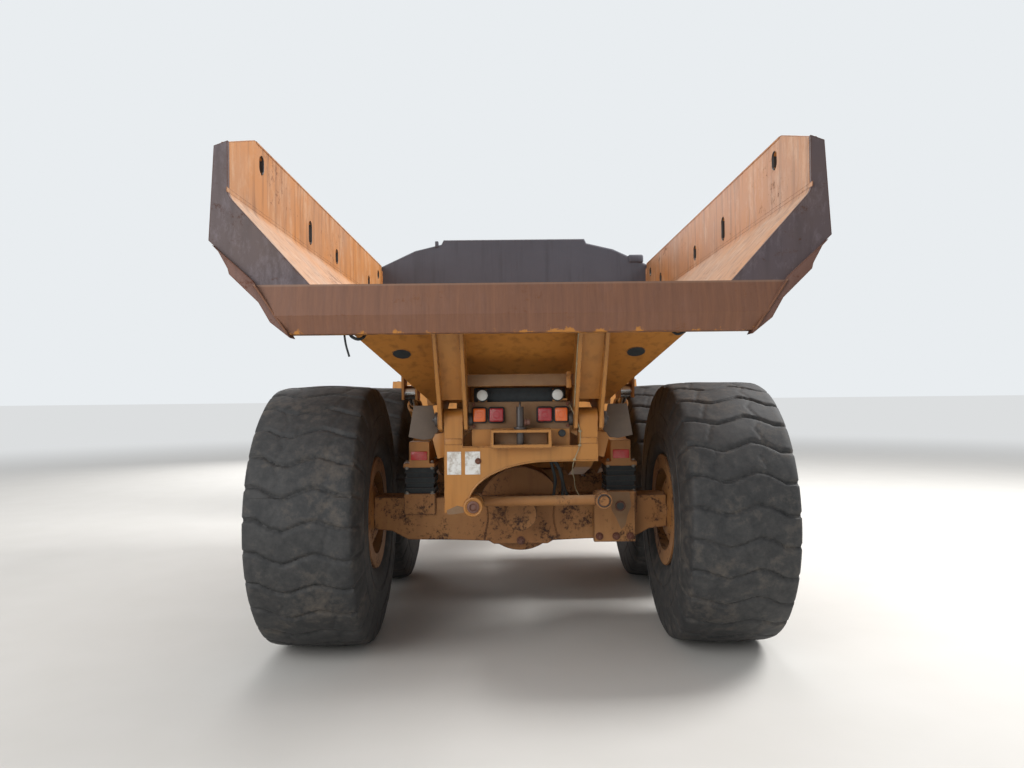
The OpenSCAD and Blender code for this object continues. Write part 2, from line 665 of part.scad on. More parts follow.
module cab_shell() {
    color("#c98a2e") difference() {
        cab_outline(0);
        cab_outline(cab_wall);
        block([-cab_x - 1, door_y0, cab_floor_z + 60], [-cab_x + cab_wall + 1, door_y1, win_z1]);
        block([cab_x - cab_wall - 1, cab_y0 + 160, win_z0], [cab_x + 1, cab_y1 - 420, win_z1]);
        block([-cab_x + 140, cab_y0 - 1, win_z0], [cab_x - 140, cab_y0 + cab_wall + 1, win_z1]);
        block([-cab_x + 140, cab_y1 - 350, win_z0], [cab_x - 140, cab_y1 + 1, win_z1]);
    }
    color("#2c2c2c") for (z = [2250, 3250]) {
        door_knuckle(z - 40, z, -60);
        bar_z(10, z - 41, z + 45, door_hinge_x, door_hinge_y);
    }
}
// Door hinges: fixed knuckles on the shell, and the door's own between them
door_hinge_x = -cab_x - 22;
door_hinge_y = door_y0;
knuckle_r = 20;
module door_knuckle(z0, z1, dy) {
    bar_z(knuckle_r, z0, z1, door_hinge_x, door_hinge_y);
    block([door_hinge_x, door_hinge_y + min(dy, 0), z0], [-cab_x + 1, door_hinge_y + max(dy, 0), z1]);
}
module cab_roof() {
    color("#c98a2e") block([-cab_x, cab_y0, cab_roof_z - 100 + seat_gap], [cab_x, cab_y1 - 150, cab_roof_z]);
}
module cab_glass() {
    color("#6a7a80") {
        block([cab_x - 40, cab_y0 + 160 + seat_gap, win_z0 + seat_gap], [cab_x - 30, cab_y1 - 420 - seat_gap, win_z1 - seat_gap]);
        block([-cab_x + 140 + seat_gap, cab_y0 + 30, win_z0 + seat_gap], [cab_x - 140 - seat_gap, cab_y0 + 40, win_z1 - seat_gap]);
    }
}
module cab_door() {
    color("#c98a2e") difference() {
        block([-cab_x, door_y0 + run_gap, cab_floor_z + 60 + run_gap], [-cab_x + cab_wall, door_y1 - run_gap, win_z1 - run_gap]);
        block([-cab_x - 1, door_y0 + 80, win_z0], [-cab_x + cab_wall + 1, door_y1 - 80, win_z1 - 80]);
    }
    color("#2c2c2c") difference() {
        for (z = [2250, 3250]) door_knuckle(z + seat_gap, z + 45, 60);
        for (z = [2250, 3250]) bar_z(10 + seat_gap, z - 5, z + 50, door_hinge_x, door_hinge_y);
    }
}
module door_glass() {
    color("#6a7a80") block([-cab_x + 25, door_y0 + 80 + seat_gap, win_z0 + seat_gap],
        [-cab_x + 35, door_y1 - 80 - seat_gap, win_z1 - 80 - seat_gap]);
}
module cab_interior() {
    color("#303030") {
        block([-260, cab_y0 + 200, cab_floor_z + cab_wall + seat_gap], [260, cab_y0 + 750, 2500]);
        block([-260, cab_y0 + 120, 2500], [260, cab_y0 + 260, 3150]);
        block([-500, cab_y1 - 360, cab_floor_z + cab_wall + seat_gap], [500, cab_y1 - 100, 2600]);
    }
}
rail_y = y_front + tyre_r - 150;
module handrails() {
    color("#2c2c2c") both_sides() {
        for (x = [900, 1640]) bar_z(18, deck_z + seat_gap, 2900, x, rail_y);
        bar_x(18, 900, 1640, rail_y, 2900);
        bar_x(14, 900, 1640, rail_y, 2450);
    }
}
module mirrors() {
    color("#2c2c2c") both_sides() {
        block([1460, rail_y - 60, 2920], [1690, rail_y + 20, 3420]);
        block([1560, rail_y - 10, 2918 + seat_gap], [1600, rail_y + 10, 2930]);
    }
}
module exhaust() {
    color("#4a4440") bar_z(70, deck_z + seat_gap, cab_roof_z - 150, cab_x + 230, cab_y0 + 250);
}
tank_y0 = y_front + tyre_r + 220;
tank_x = 1250;
tank_z = 1500;
module tanks() {
    color("#b87a2c") both_sides()
        block([frame_half_w + seat_gap, tank_y0, 900], [tank_x, tank_y0 + (y_nose - tank_y0) * 0.45, tank_z]);
}
// Ladders on the tanks' outer sides and the platforms above them
step_y0 = tank_y0 + 60;
step_w = 460;
step_deep = 190;
platform_z = 1930;
module steps() {
    color("#2c2c2c") both_sides() {
        for (y = [step_y0, step_y0 + step_w])
            block([tank_x + seat_gap, y, 450], [tank_x + step_deep, y + 12, platform_z - 1]);
        for (z = [480:280:1600])
            block([tank_x + seat_gap, step_y0 + 1, z], [tank_x + step_deep, step_y0 + step_w + 1, z + 25]);
        block([hood_w / 2 + 25, tank_y0 - 140, platform_z - 30], [tank_x + step_deep, step_y0 + step_w + 12, platform_z]);
        for (x = [hood_w / 2 + 70, tank_x - 110])
            block([x, step_y0 + 120, tank_z + seat_gap], [x + 40, step_y0 + 160, platform_z - 29]);
    }
}

// Steering cylinders: base on the tractor's frame, eye at the yoke's arm
steer_r = 48;
steer_mouth = steer_len - 300;
module steer_stretch(side, r, s0, s1) {
    p = steer_base + steer_dir * s0;
    q = steer_base + steer_dir * s1;
    rod([side * p[0], p[1], steer_z], [side * q[0], q[1], steer_z], r);
}
module steer_barrel(side) {
    color("#b07428") difference() {
        union() {
            steer_stretch(side, steer_r, 45, steer_mouth);
            bar_z(58, steer_z - 40, steer_z + 40, side * steer_base[0], steer_base[1]);
        }
        steer_stretch(side, steer_r - 10, 150, steer_mouth + 1);
        bar_z(30 + seat_gap, steer_z - 41, steer_z + 41, side * steer_base[0], steer_base[1]);
    }
}
module steer_rod(side) {
    color("#c8c8c4") {
        steer_stretch(side, steer_r - 11, steer_mouth - 330, steer_mouth - 280);
        steer_stretch(side, 26, steer_mouth - 281, steer_len - 40);
        bar_z(50, steer_z - 40, steer_z + 40, side * steer_eye[0], steer_eye[1]);
    }
}

rear_frame();
rear_axle();
middle_axle();
bogie_beams();
rubber_mounts();
axle_rods();
driveshafts();
tail_frame();
rear_lamps();
wheel_tyre(y_front, -1);  // tyre_front_left
wheel_tyre(y_front, 1);  // tyre_front_right
wheel_tyre(y_mid, -1);  // tyre_middle_left
wheel_tyre(y_mid, 1);  // tyre_middle_right
wheel_tyre(y_rear, -1);  // tyre_rear_left
wheel_tyre(y_rear, 1);  // tyre_rear_right
rim(-half_track, y_front, -1);  // rim_front_left
rim(half_track, y_front, 1);  // rim_front_right
rim(-half_track, y_mid, -1);  // rim_middle_left
rim(half_track, y_mid, 1);  // rim_middle_right
rim(-half_track, y_rear, -1);  // rim_rear_left
rim(half_track, y_rear, 1);  // rim_rear_right
bed_tub();
bed_sides();
bed_ribs();
bed_headboard();
bed_tail();
bed_hinge_frame();
hoist_barrel(-1);  // hoist_barrel_left
hoist_barrel(1);  // hoist_barrel_right
hoist_rod(-1);  // hoist_rod_left
hoist_rod(1);  // hoist_rod_right
hitch_yoke();
front_frame();
front_axle();
engine();
radiator();
hood();
grille();
bumper();
headlamps();
fenders();
cab_shell();
cab_roof();
cab_glass();
cab_door();
door_glass();
cab_interior();
handrails();
mirrors();
exhaust();
tanks();
steps();
steer_barrel(-1);  // steer_barrel_left
steer_barrel(1);  // steer_barrel_right
steer_rod(-1);  // steer_rod_left
steer_rod(1);  // steer_rod_right
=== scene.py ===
"""Finish and fittings of a six-wheel articulated dump truck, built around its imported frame."""

import json
import math

import bpy
import numpy as np
from bpy.props import FloatProperty, FloatVectorProperty, IntProperty, PointerProperty, StringProperty
from mathutils import Matrix, Vector


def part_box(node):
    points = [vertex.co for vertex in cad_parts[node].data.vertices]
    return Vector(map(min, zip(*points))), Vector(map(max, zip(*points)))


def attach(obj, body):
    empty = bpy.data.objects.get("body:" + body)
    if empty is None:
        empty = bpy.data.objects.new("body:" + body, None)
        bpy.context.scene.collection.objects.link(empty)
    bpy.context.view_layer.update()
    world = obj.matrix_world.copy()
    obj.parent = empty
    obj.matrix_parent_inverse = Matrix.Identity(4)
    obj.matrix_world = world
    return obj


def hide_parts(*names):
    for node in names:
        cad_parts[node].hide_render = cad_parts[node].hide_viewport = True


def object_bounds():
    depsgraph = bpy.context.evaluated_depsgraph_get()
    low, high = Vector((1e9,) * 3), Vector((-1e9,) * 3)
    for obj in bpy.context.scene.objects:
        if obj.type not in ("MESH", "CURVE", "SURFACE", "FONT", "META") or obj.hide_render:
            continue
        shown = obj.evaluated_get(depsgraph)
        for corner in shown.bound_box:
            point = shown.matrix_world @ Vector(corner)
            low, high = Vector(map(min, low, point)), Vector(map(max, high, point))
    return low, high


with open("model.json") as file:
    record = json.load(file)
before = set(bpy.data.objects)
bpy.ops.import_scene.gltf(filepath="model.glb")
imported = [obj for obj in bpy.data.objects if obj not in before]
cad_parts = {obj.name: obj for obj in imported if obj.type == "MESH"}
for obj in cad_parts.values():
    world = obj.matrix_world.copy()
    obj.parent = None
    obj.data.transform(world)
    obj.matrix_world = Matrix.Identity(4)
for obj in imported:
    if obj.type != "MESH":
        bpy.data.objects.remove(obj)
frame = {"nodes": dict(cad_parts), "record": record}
cad_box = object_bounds()

bl_info = {
    "name": "Articulated dump truck",
    "version": (1, 0, 0),
    "blender": (4, 5, 0),
    "location": "3D View > Sidebar > Truck",
    "description": "Dresses the packed frame of a dump truck: paint, rust, tyres, lamps, bolts and glass",
    "category": "Object",
}

SIDES = (("left", -1), ("right", 1))
AXLES = ("rear", "middle", "front")
Y_TAIL = cad_box[0].y
BED_RUN = 5.15  # length of the bed's walls, which slots and ribs are shares of
BED_PIN = (-4.71, 1.62)  # y and z of the bed's hinge
RAMP_SLOPE = 0.5088  # rise of the tail ramp over its run
BRACKET_Y = -4.262  # face of the cross rod's bracket on the rear axle
WAVE_RUN = 0.314  # metres from band to band of a wave texture at Scale 1


def hex_linear(code, alpha=1.0):
    """An sRGB hex colour as linear values."""
    parts = [int(code[i:i + 2], 16) / 255 for i in (1, 3, 5)]
    return tuple(c / 12.92 if c <= 0.04045 else ((c + 0.055) / 1.055) ** 2.4 for c in parts) + (alpha,)


def add_node(tree, kind, settings=None, **links):
    """Adds a shader node. Settings go to its properties, links to its sockets, as values or as other sockets.

    A socket is called by its name, or by i and its number where several share a name.
    """
    made = tree.nodes.new(kind)
    for key, value in (settings or {}).items():
        setattr(made, key, value)
    for key, value in links.items():
        numbered = key[0] == "i" and key[1:].isdigit()
        socket = made.inputs[int(key[1:]) if numbered else key.replace("_", " ")]
        if isinstance(value, bpy.types.NodeSocket):
            tree.links.new(value, socket)
        else:
            socket.default_value = value
    return made


def new_material(name):
    """An empty material, its tree, its shader and the Object coordinates that its patterns read."""
    made = bpy.data.materials.new(name)
    made.use_nodes = True
    tree = made.node_tree
    tree.nodes.clear()
    shader = add_node(tree, "ShaderNodeBsdfPrincipled")
    add_node(tree, "ShaderNodeOutputMaterial", Surface=shader.outputs["BSDF"])
    return made, tree, shader, add_node(tree, "ShaderNodeTexCoord").outputs["Object"]


def coated_steel(name, paint, faded, dust, rust, rust_level, dust_level, edge_rust, roughness, grain_m,
                 run=(1.0, 1.0, 1.0), streaks=0.0, under=None, scour=None):
    """Paint over steel: fading in broad clouds, dust on top, rust in patches, pits and along the edges.

    A lower rust_level or dust_level gives more of it. grain_m is the size of a rust spot in metres, and run squeezes
    the spots along an axis into streaks. under is the paint on faces that look down, and scour is a pair of the bright
    colour and the stretch of scratches by the load.
    """
    made, tree, shader, place = new_material(name)
    run_place = add_node(tree, "ShaderNodeMapping", Vector=place, Scale=run).outputs[0]
    clouds = add_node(tree, "ShaderNodeTexNoise", Vector=place, Scale=1.3, Detail=5.0, Roughness=0.6).outputs[0]
    patches = add_node(tree, "ShaderNodeTexNoise", Vector=run_place, Scale=0.25 / grain_m, Detail=8.0,
                       Roughness=0.72, Distortion=0.4).outputs[0]
    specks = add_node(tree, "ShaderNodeTexNoise", Vector=place, Scale=2.4 / grain_m, Detail=6.0,
                      Roughness=0.75).outputs[0]
    grit = add_node(tree, "ShaderNodeTexNoise", Vector=place, Scale=220.0, Detail=3.0).outputs[0]
    # Fading of the paint
    fade = add_node(tree, "ShaderNodeMapRange", Value=clouds, i1=0.35, i2=0.68).outputs[0]
    colour = add_node(tree, "ShaderNodeMix", {"data_type": "RGBA"}, i0=fade, i6=hex_linear(paint),
                      i7=hex_linear(faded)).outputs[2]
    up = add_node(tree, "ShaderNodeSeparateXYZ", Vector=place.node.outputs["Normal"]).outputs[2]
    if scour:
        scraped = add_node(tree, "ShaderNodeMapping", Vector=place, Scale=scour[1]).outputs[0]
        scraped = add_node(tree, "ShaderNodeTexNoise", Vector=scraped, Scale=6.0, Detail=8.0, Roughness=0.8).outputs[0]
        scraped = add_node(tree, "ShaderNodeMapRange", Value=scraped, i1=0.5, i2=0.72, i3=0.0, i4=0.75).outputs[0]
        colour = add_node(tree, "ShaderNodeMix", {"data_type": "RGBA"}, i0=scraped, i6=colour,
                          i7=hex_linear(scour[0])).outputs[2]
    if under:
        looks_down = add_node(tree, "ShaderNodeMapRange", Value=up, i1=-0.12, i2=-0.3).outputs[0]
        colour = add_node(tree, "ShaderNodeMix", {"data_type": "RGBA"}, i0=looks_down, i6=colour,
                          i7=hex_linear(under)).outputs[2]
    # Dust lies on what faces up, and thinly in clouds elsewhere
    shelf = add_node(tree, "ShaderNodeMapRange", Value=up, i1=0.1, i2=0.9, i3=0.0, i4=0.42).outputs[0]
    cloud_dust = add_node(tree, "ShaderNodeMath", {"operation": "ADD"}, i0=clouds, i1=shelf).outputs[0]
    dusty = add_node(tree, "ShaderNodeMapRange", Value=cloud_dust, i1=dust_level, i2=dust_level + 0.4).outputs[0]
    broken = add_node(tree, "ShaderNodeMapRange", Value=specks, i1=0.25, i2=0.7).outputs[0]
    dusty = add_node(tree, "ShaderNodeMath", {"operation": "MULTIPLY"}, i0=dusty, i1=broken).outputs[0]
    colour = add_node(tree, "ShaderNodeMix", {"data_type": "RGBA"}, i0=dusty, i6=colour,
                      i7=hex_linear(dust)).outputs[2]
    # Dark runs below what drips
    if streaks:
        drips = add_node(tree, "ShaderNodeMapping", Vector=place, Scale=(9.0, 9.0, 0.8)).outputs[0]
        drip = add_node(tree, "ShaderNodeTexNoise", Vector=drips, Scale=2.0, Detail=4.0).outputs[0]
        drip = add_node(tree, "ShaderNodeMapRange", Value=drip, i1=0.5, i2=0.78, i3=0.0, i4=streaks).outputs[0]
        colour = add_node(tree, "ShaderNodeMix", {"data_type": "RGBA", "blend_type": "MULTIPLY"}, i0=drip, i6=colour,
                          i7=hex_linear("#5a4334")).outputs[2]
    # Rust where the patches and specks add up, and along knocked edges
    rounded = add_node(tree, "ShaderNodeBevel", {"samples": 4}, Radius=0.012).outputs[0]
    flat = add_node(tree, "ShaderNodeNewGeometry").outputs["Normal"]
    bend = add_node(tree, "ShaderNodeVectorMath", {"operation": "DOT_PRODUCT"}, i0=rounded, i1=flat).outputs["Value"]
    edge = add_node(tree, "ShaderNodeMapRange", Value=bend, i1=0.99, i2=0.82, i3=0.0, i4=edge_rust * 0.3).outputs[0]
    amount = add_node(tree, "ShaderNodeMix", i0=0.42, i2=patches, i3=specks).outputs[0]
    amount = add_node(tree, "ShaderNodeMath", {"operation": "ADD"}, i0=amount, i1=edge).outputs[0]
    if under:
        spared = add_node(tree, "ShaderNodeMath", {"operation": "MULTIPLY"}, i0=looks_down, i1=0.09).outputs[0]
        amount = add_node(tree, "ShaderNodeMath", {"operation": "SUBTRACT"}, i0=amount, i1=spared).outputs[0]
    rusty = add_node(tree, "ShaderNodeMapRange", Value=amount, i1=rust_level, i2=rust_level + 0.07).outputs[0]
    rust_tone = add_node(tree, "ShaderNodeMix", {"data_type": "RGBA"}, i0=specks, i6=hex_linear(rust),
                         i7=hex_linear("#3a2a22")).outputs[2]
    colour = add_node(tree, "ShaderNodeMix", {"data_type": "RGBA"}, i0=rusty, i6=colour, i7=rust_tone).outputs[2]
    tree.links.new(colour, shader.inputs["Base Color"])
    rough = add_node(tree, "ShaderNodeMath", {"operation": "MAXIMUM"}, i0=dusty, i1=rusty).outputs[0]
    rough = add_node(tree, "ShaderNodeMapRange", Value=rough, i3=roughness, i4=0.9).outputs[0]
    tree.links.new(rough, shader.inputs["Roughness"])
    # Sprayed paint over plate with shallow dents; rust stands rough
    dents = add_node(tree, "ShaderNodeTexNoise", Vector=place, Scale=4.5, Detail=2.0).outputs[0]
    bump = add_node(tree, "ShaderNodeBump", Height=dents, Strength=0.35, Distance=0.008).outputs[0]
    pitted = add_node(tree, "ShaderNodeMath", {"operation": "MULTIPLY"}, i0=rusty, i1=specks).outputs[0]
    bump = add_node(tree, "ShaderNodeBump", {"invert": True}, Height=pitted, Strength=0.5, Distance=0.002,
                    Normal=bump).outputs[0]
    bump = add_node(tree, "ShaderNodeBump", Height=grit, Strength=0.12, Distance=0.0008, Normal=bump).outputs[0]
    tree.links.new(bump, shader.inputs["Normal"])
    return made


def machine_enamel():
    """Alkyd machine enamel sprayed on plate: ochre, chalky with age, brown rust at chips and edges."""
    look = bpy.context.scene.truck_colours
    return coated_steel("machine_enamel", look.paint, look.paint_faded, "#a98a66", "#5d3826", rust_level=0.66,
                        dust_level=0.72, edge_rust=0.75, roughness=0.45, grain_m=0.09, streaks=0.35)


def hauled_bed_enamel():
    """Enamel on wear plate, scoured by loads: orange rust in long scratches and down the walls."""
    look = bpy.context.scene.truck_colours
    return coated_steel("hauled_bed_enamel", look.bed, "#a87a55", "#b89f8a", "#8a5434", rust_level=0.57,
                        dust_level=0.62, edge_rust=0.9, roughness=0.55, grain_m=0.12, run=(1.0, 0.35, 1.4), streaks=0.5,
                        under=look.paint, scour=("#c9ab8e", (1.6, 0.9, 0.35)))


def scaled_steel():
    """Bare plate with mill scale and rust: dark grey-brown, dull, pitted."""
    look = bpy.context.scene.truck_colours
    return coated_steel("scaled_steel", look.rust, "#6e4a3c", "#8d7264", "#7a4128", rust_level=0.54, dust_level=0.6,
                        edge_rust=1.0, roughness=0.6, grain_m=0.05, run=(0.5, 1.0, 1.6), streaks=0.4)


def tail_beam_steel():
    """Hot-rolled plate at the bed's lip: dark grey on the flanges, brown on the beam, paint left at its foot."""
    look = bpy.context.scene.truck_colours
    beam_top, lip_foot, paint_top = 2.402, 2.386, 1.998
    made = coated_steel("tail_beam_steel", "#52474b", "#5a4a46", "#776860", "#66402f", rust_level=0.56, dust_level=0.66,
                        edge_rust=1.0, roughness=0.6, grain_m=0.05, run=(0.6, 1.0, 1.6), streaks=0.3,
                        scour=("#7b7076", (1.2, 1.2, 0.5)))
    tree = made.node_tree
    shader = tree.nodes["Principled BSDF"]
    worn = shader.inputs["Base Color"].links[0].from_socket
    place = add_node(tree, "ShaderNodeTexCoord").outputs["Object"]
    height = add_node(tree, "ShaderNodeSeparateXYZ", Vector=place).outputs[2]
    strokes = add_node(tree, "ShaderNodeMapping", Vector=place, Scale=(26.0, 3.0, 1.6)).outputs[0]
    strokes = add_node(tree, "ShaderNodeTexNoise", Vector=strokes, Scale=1.4, Detail=8.0, Roughness=0.75).outputs[0]
    brown = add_node(tree, "ShaderNodeMix", {"data_type": "RGBA"}, i0=strokes, i6=hex_linear("#4f3226"),
                     i7=hex_linear("#94613f")).outputs[2]
    on_beam = add_node(tree, "ShaderNodeMapRange", Value=height, i1=beam_top, i2=beam_top - 0.006, i3=0.0,
                       i4=0.85).outputs[0]
    colour = add_node(tree, "ShaderNodeMix", {"data_type": "RGBA"}, i0=on_beam, i6=worn, i7=brown).outputs[2]
    lip = add_node(tree, "ShaderNodeMapRange", Value=height, i1=lip_foot, i2=lip_foot + 0.006, i3=0.0,
                   i4=0.35).outputs[0]
    lip = add_node(tree, "ShaderNodeMath", {"operation": "MULTIPLY"}, i0=lip, i1=on_beam).outputs[0]
    colour = add_node(tree, "ShaderNodeMix", {"data_type": "RGBA"}, i0=lip, i6=colour,
                      i7=hex_linear("#9a8473")).outputs[2]
    ragged = add_node(tree, "ShaderNodeTexNoise", Vector=place, Scale=11.0, Detail=6.0, Roughness=0.7).outputs[0]
    ragged = add_node(tree, "ShaderNodeMath", {"operation": "MULTIPLY_ADD"}, i0=ragged, i1=-0.24, i2=height).outputs[0]
    left = add_node(tree, "ShaderNodeMapRange", Value=ragged, i1=paint_top, i2=paint_top - 0.014).outputs[0]
    colour = add_node(tree, "ShaderNodeMix", {"data_type": "RGBA"}, i0=left, i6=colour,
                      i7=hex_linear(look.paint)).outputs[2]
    tree.links.new(colour, shader.inputs["Base Color"])
    return made


def shaded_headboard_steel():
    """Plate at the front of the bed: slate grey under dried mud, little paint left, and darker as painted shade for the
    shade it lies in.
    """
    return coated_steel("shaded_headboard_steel", "#4c4d57", "#45454e", "#6f6660", "#553f34", rust_level=0.62, dust_level=0.72,
                        edge_rust=0.8, roughness=0.6, grain_m=0.1, streaks=0.25)


def cast_axle_enamel():
    """Enamel over a sand-cast housing: grainy, caked with dust, chipped to dark spots."""
    return coated_steel("cast_axle_enamel", "#8c5c2e", "#9d6d3c", "#94795c", "#43291d", rust_level=0.525,
                        dust_level=0.6, edge_rust=0.75, roughness=0.6, grain_m=0.05, streaks=0.2)


def dark_enamel():
    """Black chassis enamel: semi-gloss, greyed by dust."""
    return coated_steel("dark_enamel", "#1d1c1b", "#2a2826", "#6b5c4c", "#4d3222", rust_level=0.68, dust_level=0.68,
                        edge_rust=0.4, roughness=0.4, grain_m=0.06)


def engine_casting():
    """Painted cast iron with an oily film that holds dirt."""
    return coated_steel("engine_casting", "#6c5a3a", "#584a32", "#6b5a48", "#33261e", rust_level=0.6, dust_level=0.6,
                        edge_rust=0.6, roughness=0.4, grain_m=0.04, streaks=0.6)


def worn_pin_steel():
    """Forged pin steel: bare, greased, brown-black where it is not rubbed."""
    return coated_steel("worn_pin_steel", "#4b4542", "#37302c", "#6a5846", "#4c3020", rust_level=0.6, dust_level=0.75,
                        edge_rust=0.3, roughness=0.38, grain_m=0.03)


def zinc_plated():
    """Zinc-plated bolt steel: pale grey, cloudy, a little rust at the corners."""
    made = coated_steel("zinc_plated", "#a9a79f", "#8b8880", "#8d7a62", "#6b4429", rust_level=0.66, dust_level=0.7,
                        edge_rust=0.5, roughness=0.42, grain_m=0.02)
    made.node_tree.nodes["Principled BSDF"].inputs["Metallic"].default_value = 0.6
    return made


def hard_chrome():
    """Hard chrome on a ground rod: mirror-bright with faint grinding lines."""
    made, tree, shader, place = new_material("hard_chrome")
    shader.inputs["Base Color"].default_value = hex_linear("#c9c8c4")
    shader.inputs["Metallic"].default_value = 1.0
    lines = add_node(tree, "ShaderNodeMapping", Vector=place, Scale=(3.0, 60.0, 60.0)).outputs[0]
    haze = add_node(tree, "ShaderNodeTexNoise", Vector=lines, Scale=8.0, Detail=6.0).outputs[0]
    rough = add_node(tree, "ShaderNodeMapRange", Value=haze, i3=0.1, i4=0.3).outputs[0]
    tree.links.new(rough, shader.inputs["Roughness"])
    bump = add_node(tree, "ShaderNodeBump", Height=haze, Strength=0.05, Distance=0.0005).outputs[0]
    tree.links.new(bump, shader.inputs["Normal"])
    return made


def rubber(name, base, worn, dust, dust_level, grain, pores):
    """Vulcanised rubber or a dusty coat: matt, paler where it is worn, dust in its pores and hollows."""
    made, tree, shader, place = new_material(name)
    clouds = add_node(tree, "ShaderNodeTexNoise", Vector=place, Scale=3.0, Detail=6.0, Roughness=0.65).outputs[0]
    scuffs = add_node(tree, "ShaderNodeTexNoise", Vector=place, Scale=grain, Detail=8.0, Roughness=0.7).outputs[0]
    fine = add_node(tree, "ShaderNodeTexNoise", Vector=place, Scale=pores, Detail=3.0).outputs[0]
    tone = add_node(tree, "ShaderNodeMapRange", Value=scuffs, i1=0.35, i2=0.7).outputs[0]
    colour = add_node(tree, "ShaderNodeMix", {"data_type": "RGBA"}, i0=tone, i6=hex_linear(base),
                      i7=hex_linear(worn)).outputs[2]
    amount = add_node(tree, "ShaderNodeMix", i0=0.5, i2=clouds, i3=scuffs).outputs[0]
    dusty = add_node(tree, "ShaderNodeMapRange", Value=amount, i1=dust_level, i2=dust_level + 0.25).outputs[0]
    colour = add_node(tree, "ShaderNodeMix", {"data_type": "RGBA"}, i0=dusty, i6=colour,
                      i7=hex_linear(dust)).outputs[2]
    tree.links.new(colour, shader.inputs["Base Color"])
    rough = add_node(tree, "ShaderNodeMapRange", Value=dusty, i3=0.72, i4=0.95).outputs[0]
    tree.links.new(rough, shader.inputs["Roughness"])
    shader.inputs["IOR"].default_value = 1.52
    bump = add_node(tree, "ShaderNodeBump", Height=scuffs, Strength=0.4, Distance=0.004).outputs[0]
    bump = add_node(tree, "ShaderNodeBump", Height=fine, Strength=0.2, Distance=0.001, Normal=bump).outputs[0]
    tree.links.new(bump, shader.inputs["Normal"])
    return made


def tread_rubber():
    """Worn tread compound: charcoal, scuffed grey on the lugs, tan dust rubbed in."""
    look = bpy.context.scene.truck_colours
    return rubber("tread_rubber", look.rubber, "#41403f", "#645b51", 0.52, 14.0, 260.0)


def moulded_rubber():
    """Moulded rubber blocks and hoses: blue-black, slightly dusty."""
    return rubber("moulded_rubber", "#1b2124", "#2b3133", "#554c42", 0.6, 20.0, 300.0)


def dusty_plate():
    """Thin plate under a coat of dried dust, grey-brown."""
    return rubber("dusty_plate", "#5a4e44", "#64574b", "#746453", 0.5, 9.0, 300.0)


def dust_and_shade_enamel():
    """Machine enamel under the bed: dust over it, and darker than the paint as painted shade for the shade there."""
    return rubber("dust_and_shade_enamel", "#7a5a3e", "#86643f", "#7d6a57", 0.45, 11.0, 320.0)


def wire_sheath():
    """Thin cable sheath, cream and dusty."""
    return rubber("wire_sheath", "#8d8265", "#a3977a", "#6f6350", 0.5, 30.0, 400.0)


def clear_plastic(name, colour, glow, roughness, through):
    """Polycarbonate lamp lens: deep colour over its moulded prisms, each 4 mm wide. It glows faintly in its glow
    colour; on the reflector, which is no lamp, that glow is a painted highlight.
    """
    made, tree, shader, place = new_material(name)
    dirt = add_node(tree, "ShaderNodeTexNoise", Vector=place, Scale=30.0, Detail=6.0, Roughness=0.7).outputs[0]
    dirty = add_node(tree, "ShaderNodeMapRange", Value=dirt, i1=0.5, i2=0.8, i3=0.0, i4=0.5).outputs[0]
    tone = add_node(tree, "ShaderNodeMix", {"data_type": "RGBA"}, i0=dirty, i6=hex_linear(colour),
                    i7=hex_linear("#8a7560")).outputs[2]
    tree.links.new(tone, shader.inputs["Base Color"])
    shader.inputs["Roughness"].default_value = roughness
    shader.inputs["IOR"].default_value = 1.58
    shader.inputs["Transmission Weight"].default_value = through
    shader.inputs["Coat Weight"].default_value = 0.4
    shader.inputs["Emission Color"].default_value = hex_linear(glow)
    shader.inputs["Emission Strength"].default_value = 0.12
    fine = WAVE_RUN / 0.004
    prisms = add_node(tree, "ShaderNodeTexWave", {"bands_direction": "X"}, Vector=place, Scale=fine).outputs[1]
    cross = add_node(tree, "ShaderNodeTexWave", {"bands_direction": "Z"}, Vector=place, Scale=fine).outputs[1]
    grid = add_node(tree, "ShaderNodeMath", {"operation": "ADD"}, i0=prisms, i1=cross).outputs[0]
    bump = add_node(tree, "ShaderNodeBump", Height=grid, Strength=0.35, Distance=0.001).outputs[0]
    tree.links.new(bump, shader.inputs["Normal"])
    return made


def tinted_glass():
    """Toughened cab glass: grey-green, clear, with a wiped film of dust."""
    made, tree, shader, place = new_material("tinted_glass")
    film = add_node(tree, "ShaderNodeTexNoise", Vector=place, Scale=6.0, Detail=6.0, Roughness=0.65).outputs[0]
    rough = add_node(tree, "ShaderNodeMapRange", Value=film, i1=0.4, i2=0.75, i3=0.02, i4=0.22).outputs[0]
    tone = add_node(tree, "ShaderNodeMix", {"data_type": "RGBA"}, i0=film, i6=hex_linear("#9fb3ac"),
                    i7=hex_linear("#8a958c")).outputs[2]
    tree.links.new(tone, shader.inputs["Base Color"])
    tree.links.new(rough, shader.inputs["Roughness"])
    shader.inputs["IOR"].default_value = 1.52
    shader.inputs["Transmission Weight"].default_value = 0.88
    return made


def grained_plastic():
    """Moulded cab plastic: charcoal with a fine leather-like grain."""
    made, tree, shader, place = new_material("grained_plastic")
    grain = add_node(tree, "ShaderNodeTexVoronoi", Vector=place, Scale=260.0).outputs[0]
    dust = add_node(tree, "ShaderNodeTexNoise", Vector=place, Scale=7.0, Detail=6.0).outputs[0]
    dusty = add_node(tree, "ShaderNodeMapRange", Value=dust, i1=0.45, i2=0.8).outputs[0]
    tone = add_node(tree, "ShaderNodeMix", {"data_type": "RGBA"}, i0=dusty, i6=hex_linear("#242424"),
                    i7=hex_linear("#4c463e")).outputs[2]
    tree.links.new(tone, shader.inputs["Base Color"])
    shader.inputs["Roughness"].default_value = 0.55
    shader.inputs["IOR"].default_value = 1.5
    bump = add_node(tree, "ShaderNodeBump", Height=grain, Strength=0.25, Distance=0.0006).outputs[0]
    tree.links.new(bump, shader.inputs["Normal"])
    return made


